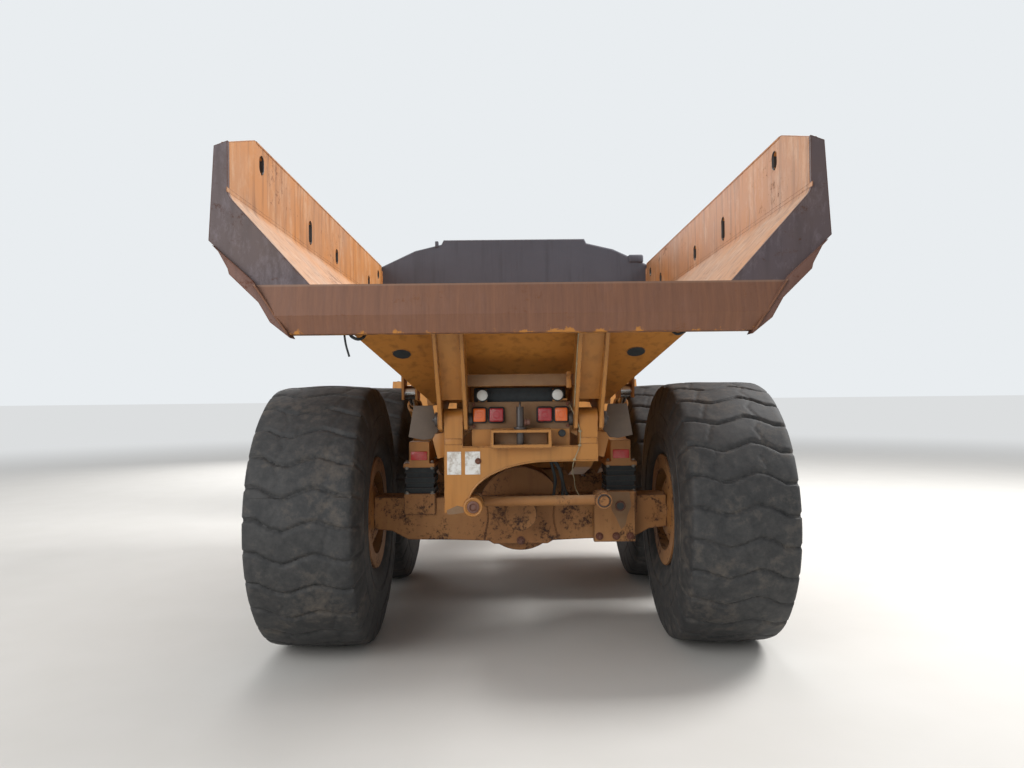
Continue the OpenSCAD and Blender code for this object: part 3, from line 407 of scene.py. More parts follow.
def woven_seat_cloth():
    """Woven seat fabric: grey-blue warp over dark weft, drawn at 2 mm so that it shows."""
    made, tree, shader, place = new_material("woven_seat_cloth")
    fine = WAVE_RUN / 0.002
    warp = add_node(tree, "ShaderNodeTexWave", {"bands_direction": "X"}, Vector=place, Scale=fine).outputs[1]
    weft = add_node(tree, "ShaderNodeTexWave", {"bands_direction": "Z"}, Vector=place, Scale=fine).outputs[1]
    weave = add_node(tree, "ShaderNodeMath", {"operation": "MULTIPLY"}, i0=warp, i1=weft).outputs[0]
    tone = add_node(tree, "ShaderNodeMix", {"data_type": "RGBA"}, i0=weave, i6=hex_linear("#23272b"),
                    i7=hex_linear("#4a525a")).outputs[2]
    tree.links.new(tone, shader.inputs["Base Color"])
    shader.inputs["Roughness"].default_value = 0.9
    shader.inputs["Sheen Weight"].default_value = 0.3
    bump = add_node(tree, "ShaderNodeBump", Height=weave, Strength=0.5, Distance=0.001).outputs[0]
    tree.links.new(bump, shader.inputs["Normal"])
    return made


def printed_vinyl():
    """Blank self-adhesive vinyl: off-white, scuffed, grime at its edges."""
    made, tree, shader, place = new_material("printed_vinyl")
    grime = add_node(tree, "ShaderNodeTexNoise", Vector=place, Scale=26.0, Detail=8.0, Roughness=0.7).outputs[0]
    worn = add_node(tree, "ShaderNodeMapRange", Value=grime, i1=0.45, i2=0.68).outputs[0]
    tone = add_node(tree, "ShaderNodeMix", {"data_type": "RGBA"}, i0=worn, i6=hex_linear("#d9d8d4"),
                    i7=hex_linear("#9a8a78")).outputs[2]
    tree.links.new(tone, shader.inputs["Base Color"])
    shader.inputs["Roughness"].default_value = 0.45
    return made


def silvered_mirror():
    """Mirror glass: silvered behind, specks of dust in front."""
    made, tree, shader, place = new_material("silvered_mirror")
    shader.inputs["Base Color"].default_value = hex_linear("#d5d9d8")
    shader.inputs["Metallic"].default_value = 1.0
    film = add_node(tree, "ShaderNodeTexNoise", Vector=place, Scale=18.0, Detail=8.0, Roughness=0.7).outputs[0]
    rough = add_node(tree, "ShaderNodeMapRange", Value=film, i1=0.5, i2=0.8, i3=0.03, i4=0.35).outputs[0]
    tree.links.new(rough, shader.inputs["Roughness"])
    return made


def take(*chosen):
    """Leaves edit mode and selects only these objects, the first one active."""
    if bpy.context.object and bpy.context.object.mode != "OBJECT":
        bpy.ops.object.mode_set(mode="OBJECT")
    bpy.ops.object.select_all(action="DESELECT")
    for obj in chosen:
        obj.select_set(True)
    if chosen:
        bpy.context.view_layer.objects.active = chosen[0]


def settle(obj):
    """Puts an object's place, turn and scale into its mesh."""
    take(obj)
    bpy.ops.object.transform_apply(location=True, rotation=True, scale=True)
    return obj


def add_modifier(obj, kind, **settings):
    """Adds a modifier, sets it and applies it."""
    take(obj)
    bpy.ops.object.modifier_add(type=kind)
    modifier = obj.modifiers[-1]
    for key, value in settings.items():
        setattr(modifier, key, value)
    bpy.ops.object.modifier_apply(modifier=modifier.name)
    return obj


def soften(obj, width, segments=2):
    """Rounds the sharp edges."""
    return add_modifier(obj, "BEVEL", width=width, segments=segments, limit_method="ANGLE",
                        angle_limit=math.radians(40))


def in_row(obj, count, step):
    """Repeats an object in a row, one step apart."""
    return add_modifier(obj, "ARRAY", count=count, use_relative_offset=False, use_constant_offset=True,
                        constant_offset_displace=step)


def facing(centre, axis):
    """The move of an upright shape from the origin to a centre, where it stands along an axis."""
    return Matrix.Translation(centre) @ Vector(axis).to_track_quat("Z", "Y").to_matrix().to_4x4()


def block(low, high, rounding=0.0, segments=2):
    """A block between two corners, its edges rounded."""
    take()
    low, high = Vector(low), Vector(high)
    bpy.ops.mesh.primitive_cube_add(size=1, location=(low + high) / 2, scale=high - low)
    made = settle(bpy.context.object)
    return soften(made, rounding, segments) if rounding else made


def bar(start, end, radius, sides=24, rounding=0.0, end_radius=None):
    """A round bar from one point to another. With an end_radius it tapers."""
    take()
    start, end = Vector(start), Vector(end)
    along = end - start
    turn = along.to_track_quat("Z", "Y").to_euler()
    end_radius = radius if end_radius is None else end_radius
    bpy.ops.mesh.primitive_cone_add(vertices=sides, radius1=radius, radius2=end_radius, depth=along.length,
                                    location=(start + end) / 2, rotation=turn)
    made = settle(bpy.context.object)
    return soften(made, rounding) if rounding else made


def ring(centre, axis, major, minor, major_segments=48, minor_segments=12):
    """A torus round an axis."""
    take()
    bpy.ops.mesh.primitive_torus_add(major_radius=major, minor_radius=minor, major_segments=major_segments,
                                     minor_segments=minor_segments, location=centre,
                                     rotation=Vector(axis).to_track_quat("Z", "Y").to_euler())
    return settle(bpy.context.object)


def plate(corners, push, rounding=0.0):
    """A flat outline through these corners, extruded by push."""
    take()
    bpy.ops.mesh.primitive_circle_add(vertices=len(corners), fill_type="NGON", location=(0, 0, 0))
    made = bpy.context.object
    for vertex, corner in zip(made.data.vertices, corners):
        vertex.co = corner
    bpy.ops.object.mode_set(mode="EDIT")
    bpy.ops.mesh.select_all(action="SELECT")
    bpy.ops.mesh.extrude_region_move(TRANSFORM_OT_translate={"value": push})
    bpy.ops.mesh.select_all(action="SELECT")
    bpy.ops.mesh.normals_make_consistent(inside=False)
    bpy.ops.object.mode_set(mode="OBJECT")
    return soften(made, rounding) if rounding else made


def turned(outline, centre, axis, steps=48):
    """A ring or a boss spun about an axis from (radius, height) points, closed where its ends touch the axis."""
    take()
    bpy.ops.mesh.primitive_circle_add(vertices=len(outline), fill_type="NOTHING", location=(0, 0, 0))
    made = bpy.context.object
    for vertex, (radius, height) in zip(made.data.vertices, outline):
        vertex.co = (radius, 0, height)
    bpy.ops.object.mode_set(mode="EDIT")
    bpy.ops.mesh.select_all(action="SELECT")
    bpy.ops.mesh.spin(steps=steps, angle=2 * math.pi, center=(0, 0, 0), axis=(0, 0, 1))
    bpy.ops.mesh.select_all(action="SELECT")
    bpy.ops.mesh.remove_doubles(threshold=0.0001)
    bpy.ops.mesh.delete_loose()
    bpy.ops.mesh.select_all(action="SELECT")
    bpy.ops.mesh.normals_make_consistent(inside=False)
    bpy.ops.object.mode_set(mode="OBJECT")
    made.data.transform(facing(centre, axis))
    return made


def pipe(points, radius, sides=4, smooth=True):
    """A round pipe or hose along points, in curves or with sharp bends."""
    take()
    bpy.ops.curve.primitive_bezier_curve_add(location=(0, 0, 0))
    curve = bpy.context.object
    line = curve.data.splines[0]
    line.bezier_points.add(len(points) - 2)
    for knot, point in zip(line.bezier_points, points):
        knot.handle_left_type = knot.handle_right_type = "AUTO" if smooth else "VECTOR"
        knot.co = point
    curve.data.bevel_depth = radius
    curve.data.bevel_resolution = sides
    curve.data.resolution_u = 8 if smooth else 2
    curve.data.use_fill_caps = True
    bpy.ops.object.convert(target="MESH")
    return bpy.context.object


def seal(corners, radius):
    """A closed bead round an outline."""
    return pipe(corners + corners[:1], radius, 2, smooth=False)


def weld(points, radius=0.005):
    """A weld bead along points."""
    return pipe(points, radius, sides=2, smooth=False)


def copied(obj, move=None):
    """A copy with its own mesh, moved by a matrix."""
    take(obj)
    bpy.ops.object.duplicate()
    made = bpy.context.object
    if move is not None:
        made.data.transform(move)
    return made


def mirrored(obj):
    """A copy on the other side of the truck, facing outwards."""
    made = copied(obj, Matrix.Diagonal((-1, 1, 1, 1)))
    made.data.flip_normals()
    return made


def both(parts):
    """The given parts and their mirror copies."""
    return parts + [mirrored(part) for part in parts]


def bolt(centre, axis, size=0.02, washer=True):
    """A hexagon head on its washer, size across the thread. It starts on centre and stands out along axis."""
    take()
    head = bar((0, 0, 0.2 * size), (0, 0, 0.85 * size), 0.9 * size, sides=6)
    parts = [soften(head, 0.06 * size, 1)]
    parts.append(bar((0, 0, 0.84 * size), (0, 0, 1.05 * size), 0.42 * size, sides=10))
    if washer:
        parts.append(bar((0, 0, -0.1 * size), (0, 0, 0.2 * size), 1.25 * size, sides=16))
    made = joined("bolt", parts)
    made.data.transform(facing(centre, axis))
    return made


def bolt_circle(centre, axis, radius, count, size):
    """Bolts round a circle."""
    first = bolt((radius, 0, 0), (0, 0, 1), size)
    found = [first] + [copied(first, Matrix.Rotation(2 * math.pi * i / count, 4, "Z")) for i in range(1, count)]
    for obj in found:
        obj.data.transform(facing(centre, axis))
    return found


def joined(name, parts):
    """One object from several."""
    take(*parts)
    if len(parts) > 1:
        bpy.ops.object.join()
    made = bpy.context.object
    made.name = made.data.name = name
    return made


def finish_piece(name, parts, body, material, angle=35, stands_for=()):
    """Joins the parts, gives them their finish and lets them ride on a body of the frame."""
    made = joined(name, parts)
    made.data.materials.clear()
    made.data.materials.append(bpy.data.materials[material])
    take(made)
    bpy.ops.object.shade_smooth_by_angle(angle=math.radians(angle))
    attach(made, body)
    if stands_for:
        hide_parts(*stands_for)
    return made


FINISHES = (
    machine_enamel, hauled_bed_enamel, scaled_steel, tail_beam_steel, shaded_headboard_steel, cast_axle_enamel, dark_enamel,
    engine_casting, worn_pin_steel, zinc_plated, hard_chrome, tread_rubber, moulded_rubber, dusty_plate, dust_and_shade_enamel,
    wire_sheath, tinted_glass, grained_plastic, woven_seat_cloth, printed_vinyl, silvered_mirror,
)
# Name, colour, glow, roughness and share of light let through; the reflector's glow is a painted highlight, as it is no
# lamp
LENSES = (
    ("red_lens", "#a01c24", "#a01020", 0.12, 0.25), ("amber_lens", "#d8641a", "#d85a10", 0.12, 0.25),
    ("clear_lens", "#dfe0dc", "#e8e4d8", 0.06, 0.5), ("red_reflector", "#b02a26", "#a01a18", 0.2, 0.1),
)
SLOT_FINISH = {
    "yellow_paint": "machine_enamel", "bed_paint": "hauled_bed_enamel", "rusty_steel": "scaled_steel",
    "axle_paint": "cast_axle_enamel", "tyre_rubber": "tread_rubber", "mount_rubber": "moulded_rubber",
    "rod_chrome": "hard_chrome", "dark_steel": "dark_enamel", "lamp_lens": "clear_lens",
    "window_glass": "tinted_glass", "cab_plastic": "grained_plastic", "engine_paint": "engine_casting",
}
OWN_FINISH = {"bed_headboard": "shaded_headboard_steel", "bed_tail": "tail_beam_steel"}
OWN_FINISH.update({"rim_%s_%s" % (axle, side): "cast_axle_enamel" for axle in AXLES for side, _ in SIDES})


class TruckColours(bpy.types.PropertyGroup):
    """Colours of the main finishes."""

    paint: StringProperty(name="Paint", description="Machine enamel as an sRGB hex value", default="#b07430")
    paint_faded: StringProperty(name="Faded paint", description="Enamel where the sun has bleached it",
                                default="#a5733a")
    bed: StringProperty(name="Bed", description="Enamel left inside the bed", default="#b87a3c")
    rust: StringProperty(name="Bare steel", description="Rusty plate at the bed's tail", default="#694c42")
    rubber: StringProperty(name="Rubber", description="Tread compound", default="#262728")


class TruckSizes(bpy.types.PropertyGroup):
    """Sizes that shape the fittings."""

    tread_rows: IntProperty(name="Tread rows", description="Rows of blocks round a tyre", default=28, min=20, max=36)
    groove_depth: FloatProperty(name="Groove depth", description="Depth left in the tread", default=0.017, min=0.008,
                                max=0.045, unit="LENGTH")
    groove_width: FloatProperty(name="Groove width", description="Width of a tread groove", default=0.021, min=0.012,
                                max=0.05, unit="LENGTH")
    lamp_bezel: FloatProperty(name="Lamp bezel", description="Width of a lamp's rubber rim", default=0.009, min=0.004,
                              max=0.02, unit="LENGTH")
    camera_place: FloatVectorProperty(name="Camera", description="Where the camera stands",
                                      default=(-0.067, -9.65, 1.78), subtype="TRANSLATION", unit="LENGTH")
    camera_turn: FloatVectorProperty(name="Camera turn", description="How the camera is turned",
                                     default=(math.radians(90.75), math.radians(0.6), math.radians(-0.15)),
                                     subtype="EULER")
    lens: FloatProperty(name="Lens", description="Focal length on a 36 mm frame", default=26.9, min=18.0, max=85.0,
                        unit="CAMERA")


class TRUCK_OT_finishes(bpy.types.Operator):
    """Makes every finish and puts it on the frame's own pieces."""

    bl_idname = "truck.finishes"
    bl_label = "Finishes"

    def execute(self, context):
        for make in FINISHES:
            make()
        for name, colour, glow, roughness, through in LENSES:
            clear_plastic(name, colour, glow, roughness, through)
        for part in frame["record"]["subparts"]:
            node = frame["nodes"][part["node"]]
            finish = OWN_FINISH.get(part["node"], SLOT_FINISH[part["material_slot"]])
            node.data.materials.clear()
            node.data.materials.append(bpy.data.materials[finish])
            take(node)
            bpy.ops.object.shade_smooth_by_angle(angle=math.radians(30))
        return {"FINISHED"}


class TRUCK_OT_stage(bpy.types.Operator):
    """Sets up the pale floor, the soft lamps and the camera behind the truck."""

    bl_idname = "truck.stage"
    bl_label = "Stage"

    def execute(self, context):
        sizes = context.scene.truck_sizes
        take()
        bpy.ops.mesh.primitive_plane_add(size=400, location=(0, 0, 0))
        floor = settle(context.object)
        floor.name = "floor"
        material, tree, shader, place = new_material("pale_floor")
        shader.inputs["Roughness"].default_value = 0.85
        mottle = add_node(tree, "ShaderNodeTexNoise", Vector=place, Scale=2.0, Detail=3.0).outputs[0]
        tone = add_node(tree, "ShaderNodeMix", {"data_type": "RGBA"}, i0=mottle, i6=hex_linear("#c9c6c0"),
                        i7=hex_linear("#d0cdc8")).outputs[2]
        tree.links.new(tone, shader.inputs["Base Color"])
        # Away from the truck the lamps fall off, so the floor blends into the plain pale background
        reach = add_node(tree, "ShaderNodeVectorMath", {"operation": "LENGTH"}, i0=place).outputs["Value"]
        away = add_node(tree, "ShaderNodeMapRange", {"interpolation_type": "SMOOTHSTEP"}, Value=reach, i1=10.0,
                        i2=26.0).outputs[0]
        ray = add_node(tree, "ShaderNodeLightPath")
        seen = add_node(tree, "ShaderNodeMath", {"operation": "MAXIMUM"}, i0=ray.outputs["Is Camera Ray"],
                        i1=ray.outputs["Is Glossy Ray"]).outputs[0]
        far = add_node(tree, "ShaderNodeEmission", Color=hex_linear("#dcdedf"), Strength=seen).outputs[0]
        mixed = add_node(tree, "ShaderNodeMixShader", i0=away, i1=shader.outputs["BSDF"], i2=far).outputs[0]
        tree.links.new(mixed, tree.nodes["Material Output"].inputs["Surface"])
        floor.data.materials.append(material)

        # Lamps by name, spot, size in metres and power in watts, all turned to the truck's middle
        aim = Vector((0, -1.5, 1.2))
        for name, spot, size, power in (
            ("key", (9.5, -1.0, 10.0), 5.0, 1900.0), ("fill", (-6.0, -11.0, 5.0), 6.0, 480.0),
            ("top", (0.0, 1.0, 11.0), 9.0, 700.0), ("front", (-5.0, 11.0, 6.0), 6.0, 600.0),
        ):
            bpy.ops.object.light_add(type="AREA", location=spot)
            lamp = context.object
            lamp.name = "lamp_" + name
            lamp.data.size = size
            lamp.data.energy = power
            lamp.rotation_euler = (aim - Vector(spot)).to_track_quat("-Z", "Y").to_euler()

        # A sky that lights the truck, and a paler one where the camera or the glass looks straight at it
        world = bpy.data.worlds.new("studio")
        world.use_nodes = True
        context.scene.world = world
        tree = world.node_tree
        tree.nodes.clear()
        ray = add_node(tree, "ShaderNodeLightPath")
        seen = add_node(tree, "ShaderNodeMath", {"operation": "MAXIMUM"}, i0=ray.outputs["Is Camera Ray"],
                        i1=ray.outputs["Is Transmission Ray"]).outputs[0]
        sky = add_node(tree, "ShaderNodeBackground", Color=hex_linear("#eef1f5"), Strength=0.62).outputs[0]
        back = add_node(tree, "ShaderNodeBackground", Color=hex_linear("#e9edf0"), Strength=1.0).outputs[0]
        mixed = add_node(tree, "ShaderNodeMixShader", i0=seen, i1=sky, i2=back).outputs[0]
        add_node(tree, "ShaderNodeOutputWorld", Surface=mixed)

        # Camera solved from the photograph
        bpy.ops.object.camera_add(location=sizes.camera_place, rotation=sizes.camera_turn)
        camera = context.object
        camera.data.lens = sizes.lens
        context.scene.camera = camera
        context.scene.view_settings.view_transform = "Standard"
        return {"FINISHED"}


def groove_share(turn, across, width):
    """How deep in a groove a point of the worn tread lies, 0 on a block and 1 in the groove.

    turn counts rows round the tyre and across runs from -1 to 1. Each row is parted from the next by a wavy
    groove, and into three blocks by two slanting ones.
    """
    wave = np.interp(across, (-1.0, -0.9, -0.68, -0.3, -0.06, 0.2, 0.42, 0.66, 1.0),
                     (0.02, 0.04, 0.08, 0.32, 0.18, -0.02, 0.08, 0.34, 0.36))
    off_wave = np.abs((turn - wave + 0.5) % 1.0 - 0.5)
    along = (turn - wave) % 1.0
    left = np.abs(across - (-0.4 - 0.16 * along)) * width[1]
    right = np.abs(across - (0.3 + 0.3 * np.abs(along - 0.5))) * width[1]
    rows = 1.0 - np.clip((off_wave * width[0] / width[2] - 0.32) / 0.5, 0.0, 1.0)
    slants = 1.0 - np.clip((np.minimum(left, right) * 1.5 / width[2] - 0.25) / 0.5, 0.0, 1.0)
    return np.maximum(rows, 0.34 * slants)


class TRUCK_OT_tyres(bpy.types.Operator):
    """Builds the worn block tread, shoulders and sidewalls of the six tyres."""

    bl_idname = "truck.tyres"
    bl_label = "Tyres"

    def execute(self, context):
        sizes = context.scene.truck_sizes
        low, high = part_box("tyre_rear_right")
        outer, half = (high.z - low.z) / 2, (high.x - low.x) / 2
        # One tyre as a grid, its rows of blocks laid out along x and its profile along y
        rows, steps = sizes.tread_rows, 18
        face = half - 0.055
        crown = [(x, None) for x in np.linspace(-face, face, 45)]
        # Radius and step in from the widest point, from the bead to the shoulder
        wall = ((0.3185, 0.055), (0.3485, 0.05), (0.415, 0.047), (0.44, 0.024), (0.5, 0.008), (0.58, 0.0),
                (0.66, 0.001), (0.73, 0.006), (0.79, 0.016), (0.83, 0.027), (0.865, 0.036), (0.888, 0.044))
        profile = [(d - half, r) for r, d in wall] + crown + [(half - d, r) for r, d in reversed(wall)]
        count = len(profile)
        take()
        bpy.ops.mesh.primitive_grid_add(x_subdivisions=rows * steps, y_subdivisions=count - 1, size=1,
                                        location=(0, 0, 0))
        first = context.object
        flat = np.empty(len(first.data.vertices) * 3)
        first.data.vertices.foreach_get("co", flat)
        flat = flat.reshape(-1, 3)
        turn = (flat[:, 0] + 0.5) * rows
        index = np.rint((flat[:, 1] + 0.5) * (count - 1)).astype(int)
        across = np.array([x for x, r in profile])[index]
        given = np.array([r if r else -1.0 for x, r in profile])[index]
        circle = 2 * math.pi * outer
        share = groove_share(turn, across / half, (circle / rows, half, sizes.groove_width))
        inner_edge = np.clip((face + 0.005 - np.abs(across)) / 0.03, 0.0, 1.0)
        # Grooves cut into a slightly crowned tread that waves with uneven wear
        worn = 0.004 * np.sin(turn * 2.7 + across * 9.0) * np.cos(turn * 1.3 - across * 5.0) - 0.005
        crowned = outer - 0.022 * (across / half) ** 2
        tread = crowned - sizes.groove_depth * share - 0.006 * (1 - inner_edge) + worn
        # Shoulder lugs: the blocks run down over the shoulder between open notches
        notch = np.abs((turn - np.where(across > 0, 0.34, 0.1) + 0.5) % 1.0 - 0.5) * circle / rows
        cut = np.clip(1.3 - notch / 0.016, 0.0, 1.0)
        shoulder = given + np.where(given > 0.7, 0.012 * (1 - cut) - 0.004, 0.0)
        radius = np.where(given > 0, shoulder, tread)
        bulge = np.where((given > 0.74) & (given < 0.88), 0.009 * (1 - cut) - 0.004, 0.0)
        side = np.clip(across + np.sign(across) * bulge, 0.001 - half, half - 0.001)
        angle = 2 * math.pi * turn / rows
        shaped = np.stack([side, radius * np.cos(angle), radius * np.sin(angle)], axis=1)
        first.data.vertices.foreach_set("co", shaped.ravel())
        bpy.ops.object.mode_set(mode="EDIT")
        bpy.ops.mesh.select_all(action="SELECT")
        bpy.ops.mesh.remove_doubles(threshold=0.0002)
        bpy.ops.mesh.select_all(action="SELECT")
        bpy.ops.mesh.normals_make_consistent(inside=False)
        bpy.ops.object.mode_set(mode="OBJECT")
        # The spread grid may come out inside out
        outward = sum(p.normal.dot(Vector((0, p.center.y, p.center.z))) * p.area for p in first.data.polygons)
        if outward < 0:
            first.data.flip_normals()
        # Rings moulded into both sidewalls
        rings = [ring((side * (half - 0.004), 0, 0), (1, 0, 0), radius, 0.004, 120, 6)
                 for side in (-1, 1) for radius in (0.545, 0.562, 0.70)]
        pattern = joined("tyre_pattern", [first] + rings)
        for axle_index, axle in enumerate(AXLES):
            for name, side in SIDES:
                node = "tyre_%s_%s" % (axle, name)
                low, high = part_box(node)
                middle = (low + high) / 2
                # Each tyre stands at a turn of its own
                spin = Matrix.Rotation(0.35 + axle_index * 1.7 + side * 0.6, 4, "X")
                face_out = Matrix.Rotation(math.pi, 4, "Z") if side < 0 else Matrix.Identity(4)
                made = copied(pattern, Matrix.Translation(middle) @ spin @ face_out)
                finish_piece("tread_%s_%s" % (axle, name), [made], "wheel_%s_%s" % (axle, name), "tread_rubber",
                             angle=50, stands_for=(node,))
        take(pattern)
        bpy.ops.object.delete()
        return {"FINISHED"}


class TRUCK_OT_tail(bpy.types.Operator):
    """Builds the lamps, pins, plates and wire of the tail frame."""

    bl_idname = "truck.tail"
    bl_label = "Tail frame"

    def execute(self, context):
        rim = context.scene.truck_sizes.lamp_bezel
        panel_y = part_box("rear_lamps")[1].y
        plate_y = panel_y - 0.05
        face_y = plate_y - 0.001
        back = (0, -1, 0)
        # Square lamps in rubber rims, and two round lamps above them
        lamp_z, tall = 1.647, 0.052
        rims, red, amber, white = [], [], [], []
        for x, lenses in ((-0.264, amber), (-0.155, red), (0.154, red), (0.259, amber)):
            half = 0.049 if lenses is amber else 0.053
            rims.append(block((x - half, panel_y - 0.034, lamp_z - tall), (x + half, panel_y, lamp_z + tall),
                              0.0165, 4))
            lenses.append(block((x - half + rim, panel_y - 0.041, lamp_z - tall + rim),
                                (x + half - rim, panel_y - 0.02, lamp_z + tall - rim), 0.01, 4))
            lenses.append(ring((x, panel_y - 0.041, lamp_z), (0, 1, 0), 0.02, 0.0022, 32, 6))
        for x in (-0.244, 0.236):
            centre = (x, panel_y, 1.773)
            rims.append(turned([(0, 0), (0.034, 0), (0.042, 0.012), (0.042, 0.036), (0.039, 0.042), (0.035, 0.042),
                                (0.035, 0.03), (0, 0.03)], centre, back, 36))
            white.append(turned([(0, 0.03), (0.034, 0.03), (0.034, 0.041), (0.027, 0.046), (0.014, 0.049),
                                 (0, 0.05)], centre, back, 36))
        finish_piece("lamp_rims", rims, "rear_frame", "moulded_rubber", stands_for=("rear_lamps",))
        finish_piece("tail_lenses", red, "rear_frame", "red_lens")
        finish_piece("turn_lenses", amber, "rear_frame", "amber_lens")
        finish_piece("work_lenses", white, "rear_frame", "clear_lens")

        # Blank sticker patches on the end plate and reflectors on the ends of the rocking beams
        finish_piece("blank_patches", [block((x0, plate_y - 0.002, 1.271), (x1, plate_y + 0.002, 1.417), 0.0008, 1)
                                       for x0, x1 in ((-0.471, -0.382), (-0.357, -0.261))],
                     "rear_frame", "printed_vinyl")
        beam_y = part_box("bogie_beams")[0].y
        finish_piece("reflectors", both([block((0.66, beam_y - 0.008, 1.316), (0.776, beam_y + 0.002, 1.378), 0.004)]),
                     "rear_frame", "red_reflector")

        # Towing pin with its head and grip, a fitting beside it, the bed's pins with keepers, a knob on the panel
        tow_x, tow_y = -0.005, plate_y - 0.03
        pins = [bar((tow_x, tow_y, 1.441), (tow_x, tow_y, 1.7), 0.0235, 20, 0.003),
                bar((tow_x, tow_y, 1.556), (tow_x, tow_y, 1.572), 0.04, 20, 0.003),
                ring((tow_x, tow_y, 1.7), (1, 0, 0), 0.024, 0.006, 24, 8)]
        hinge = [bar((start, *BED_PIN), (end, *BED_PIN), 0.0475, 32, 0.004)
                 for start, end in ((0.5225, 0.552), (0.308, 0.3375))]
        hinge.append(bolt((0.552, *BED_PIN), (1, 0, 0), 0.016))
        finish_piece("pin_sleeves", pins + both(hinge), "rear_frame", "worn_pin_steel")
        fittings = [bar((0.02, tow_y, 1.6), (0.058, tow_y, 1.6), 0.019, 16, 0.003),
                    bar((0.04, tow_y, 1.6), (0.04, panel_y, 1.6), 0.012, 12),
                    bar((0.026, tow_y, 1.6), (0.034, tow_y, 1.6), 0.026, 6, 0.002)]
        finish_piece("hose_fitting", fittings, "rear_frame", "scaled_steel")
        # Painted shade with dust in the towing frame and on the lamp panel, scars of dulled paint on the bracket and
        # the end plate
        bracket_scar = ((0.615, 1.085), (0.765, 1.08), (0.778, 0.985), (0.75, 0.92), (0.735, 0.85), (0.705, 0.82),
                        (0.672, 0.9), (0.64, 0.955))
        plate_scar = ((-0.478, 1.045), (-0.41, 1.075), (-0.35, 1.06), (-0.37, 1.03), (-0.43, 1.02), (-0.47, 1.02))
        dusty = [block((-0.166, plate_y + 0.006, 1.462), (0.166, plate_y + 0.012, 1.538), 0.002),
                 block((-0.332, panel_y - 0.004, 1.555), (0.316, panel_y + 0.004, 1.73), 0.002),
                 plate([(x, BRACKET_Y, z) for x, z in bracket_scar], (0, 0.004, 0)),
                 plate([(x, face_y, z) for x, z in plate_scar], (0, 0.003, 0))]
        finish_piece("dust_and_shade_panels", dusty, "rear_frame", "dust_and_shade_enamel")
        knob = turned([(0, 0), (0.012, 0), (0.012, 0.024), (0.02, 0.03), (0.024, 0.04), (0.02, 0.051), (0.008, 0.056),
                       (0, 0.056)], (0.262, panel_y, 1.528), back, 24)
        # A dark block in the gap behind the round lamps: painted shade
        shade = block((-0.3, panel_y + 0.022, 1.7), (0.292, panel_y + 0.06, 1.822), 0.008)
        finish_piece("knob_and_gap_shade", [knob, shade], "rear_frame", "moulded_rubber")

        # Bolts, welds and edges on the end plate
        trims = [bolt((x, panel_y - 0.02, z), back, 0.009) for x in (-0.3, 0.3) for z in (1.575, 1.715)]
        trims.append(bolt((-0.274, plate_y, 1.356), back, 0.016))
        finish_piece("panel_bolts", trims, "rear_frame", "scaled_steel")
        arch = [(0.18 - 0.52 * math.sin(a), face_y, 1.08 + 0.272 * math.cos(a))
                for a in np.linspace(0, math.pi / 2, 12)]
        lip = [pipe([(0.488, face_y, 1.353)] + arch + [(-0.34, face_y, 1.04)], 0.006, 2),
               weld([(x, face_y, z) for x, z in ((-0.19, 1.44), (-0.19, 1.557), (0.19, 1.557), (0.19, 1.44))], 0.006),
               weld([(0.372, face_y, 1.446), (-0.372, face_y, 1.446)], 0.005)]
        for side in (-1, 1):
            post_x = side * 0.43
            lip.append(block((post_x - 0.055, plate_y - 0.004, 1.46), (post_x + 0.055, plate_y + 0.002, 1.5), 0.002))
            lip += [ring((side * x, *BED_PIN), (1, 0, 0), 0.066, 0.006, 32, 8) for x in (0.372, 0.488)]
        lip += [ring((-0.308, plate_y - 0.013, 1.066), (0, 1, 0), 0.053, 0.008, 36, 8),
                block((0.245, panel_y - 0.03, 1.735), (0.3, panel_y, 1.75), 0.003)]
        finish_piece("tail_edges", lip, "rear_frame", "machine_enamel")
        # Shields beside the posts, and the gussets that join the posts to them
        shield = ((0.585, 1.49), (0.64, 1.485), (0.735, 1.505), (0.7, 1.71), (0.575, 1.71), (0.54, 1.54))
        finish_piece("tail_shields", both([plate([(x, -4.632, z) for x, z in shield], (0, 0.014, 0), 0.003)]),
                     "rear_frame", "dusty_plate")
        gusset = ((0.488, 1.42), (0.505, 1.37), (0.545, 1.36), (0.578, 1.49), (0.56, 1.525), (0.488, 1.535))
        gussets = [plate([(x, -4.636, z) for x, z in gusset], (0, 0.016, 0), 0.003),
                   weld([(0.49, -4.638, 1.38), (0.49, -4.638, 1.53)], 0.006)]
        finish_piece("tail_gussets", both(gussets), "rear_frame", "machine_enamel")

        # Wire clipped from the lamp panel down the end plate to the axle
        wire = [(0.31, panel_y - 0.004, 1.72), (0.35, plate_y - 0.006, 1.62), (0.375, plate_y - 0.005, 1.54),
                (0.372, plate_y - 0.005, 1.45), (0.338, plate_y - 0.007, 1.36), (0.335, -4.66, 1.28), (0.36, -4.5, 1.2),
                (0.378, -4.34, 1.13), (0.4, BRACKET_Y, 1.085), (0.42, BRACKET_Y, 1.05)]
        clips = [block((x - 0.01, y - 0.006, z - 0.006), (x + 0.01, y + 0.008, z + 0.006), 0.002)
                 for x, y, z in (wire[2], wire[3], wire[4], wire[9])]
        finish_piece("lamp_wire", [pipe(wire, 0.003, 3)] + clips, "rear_frame", "wire_sheath")
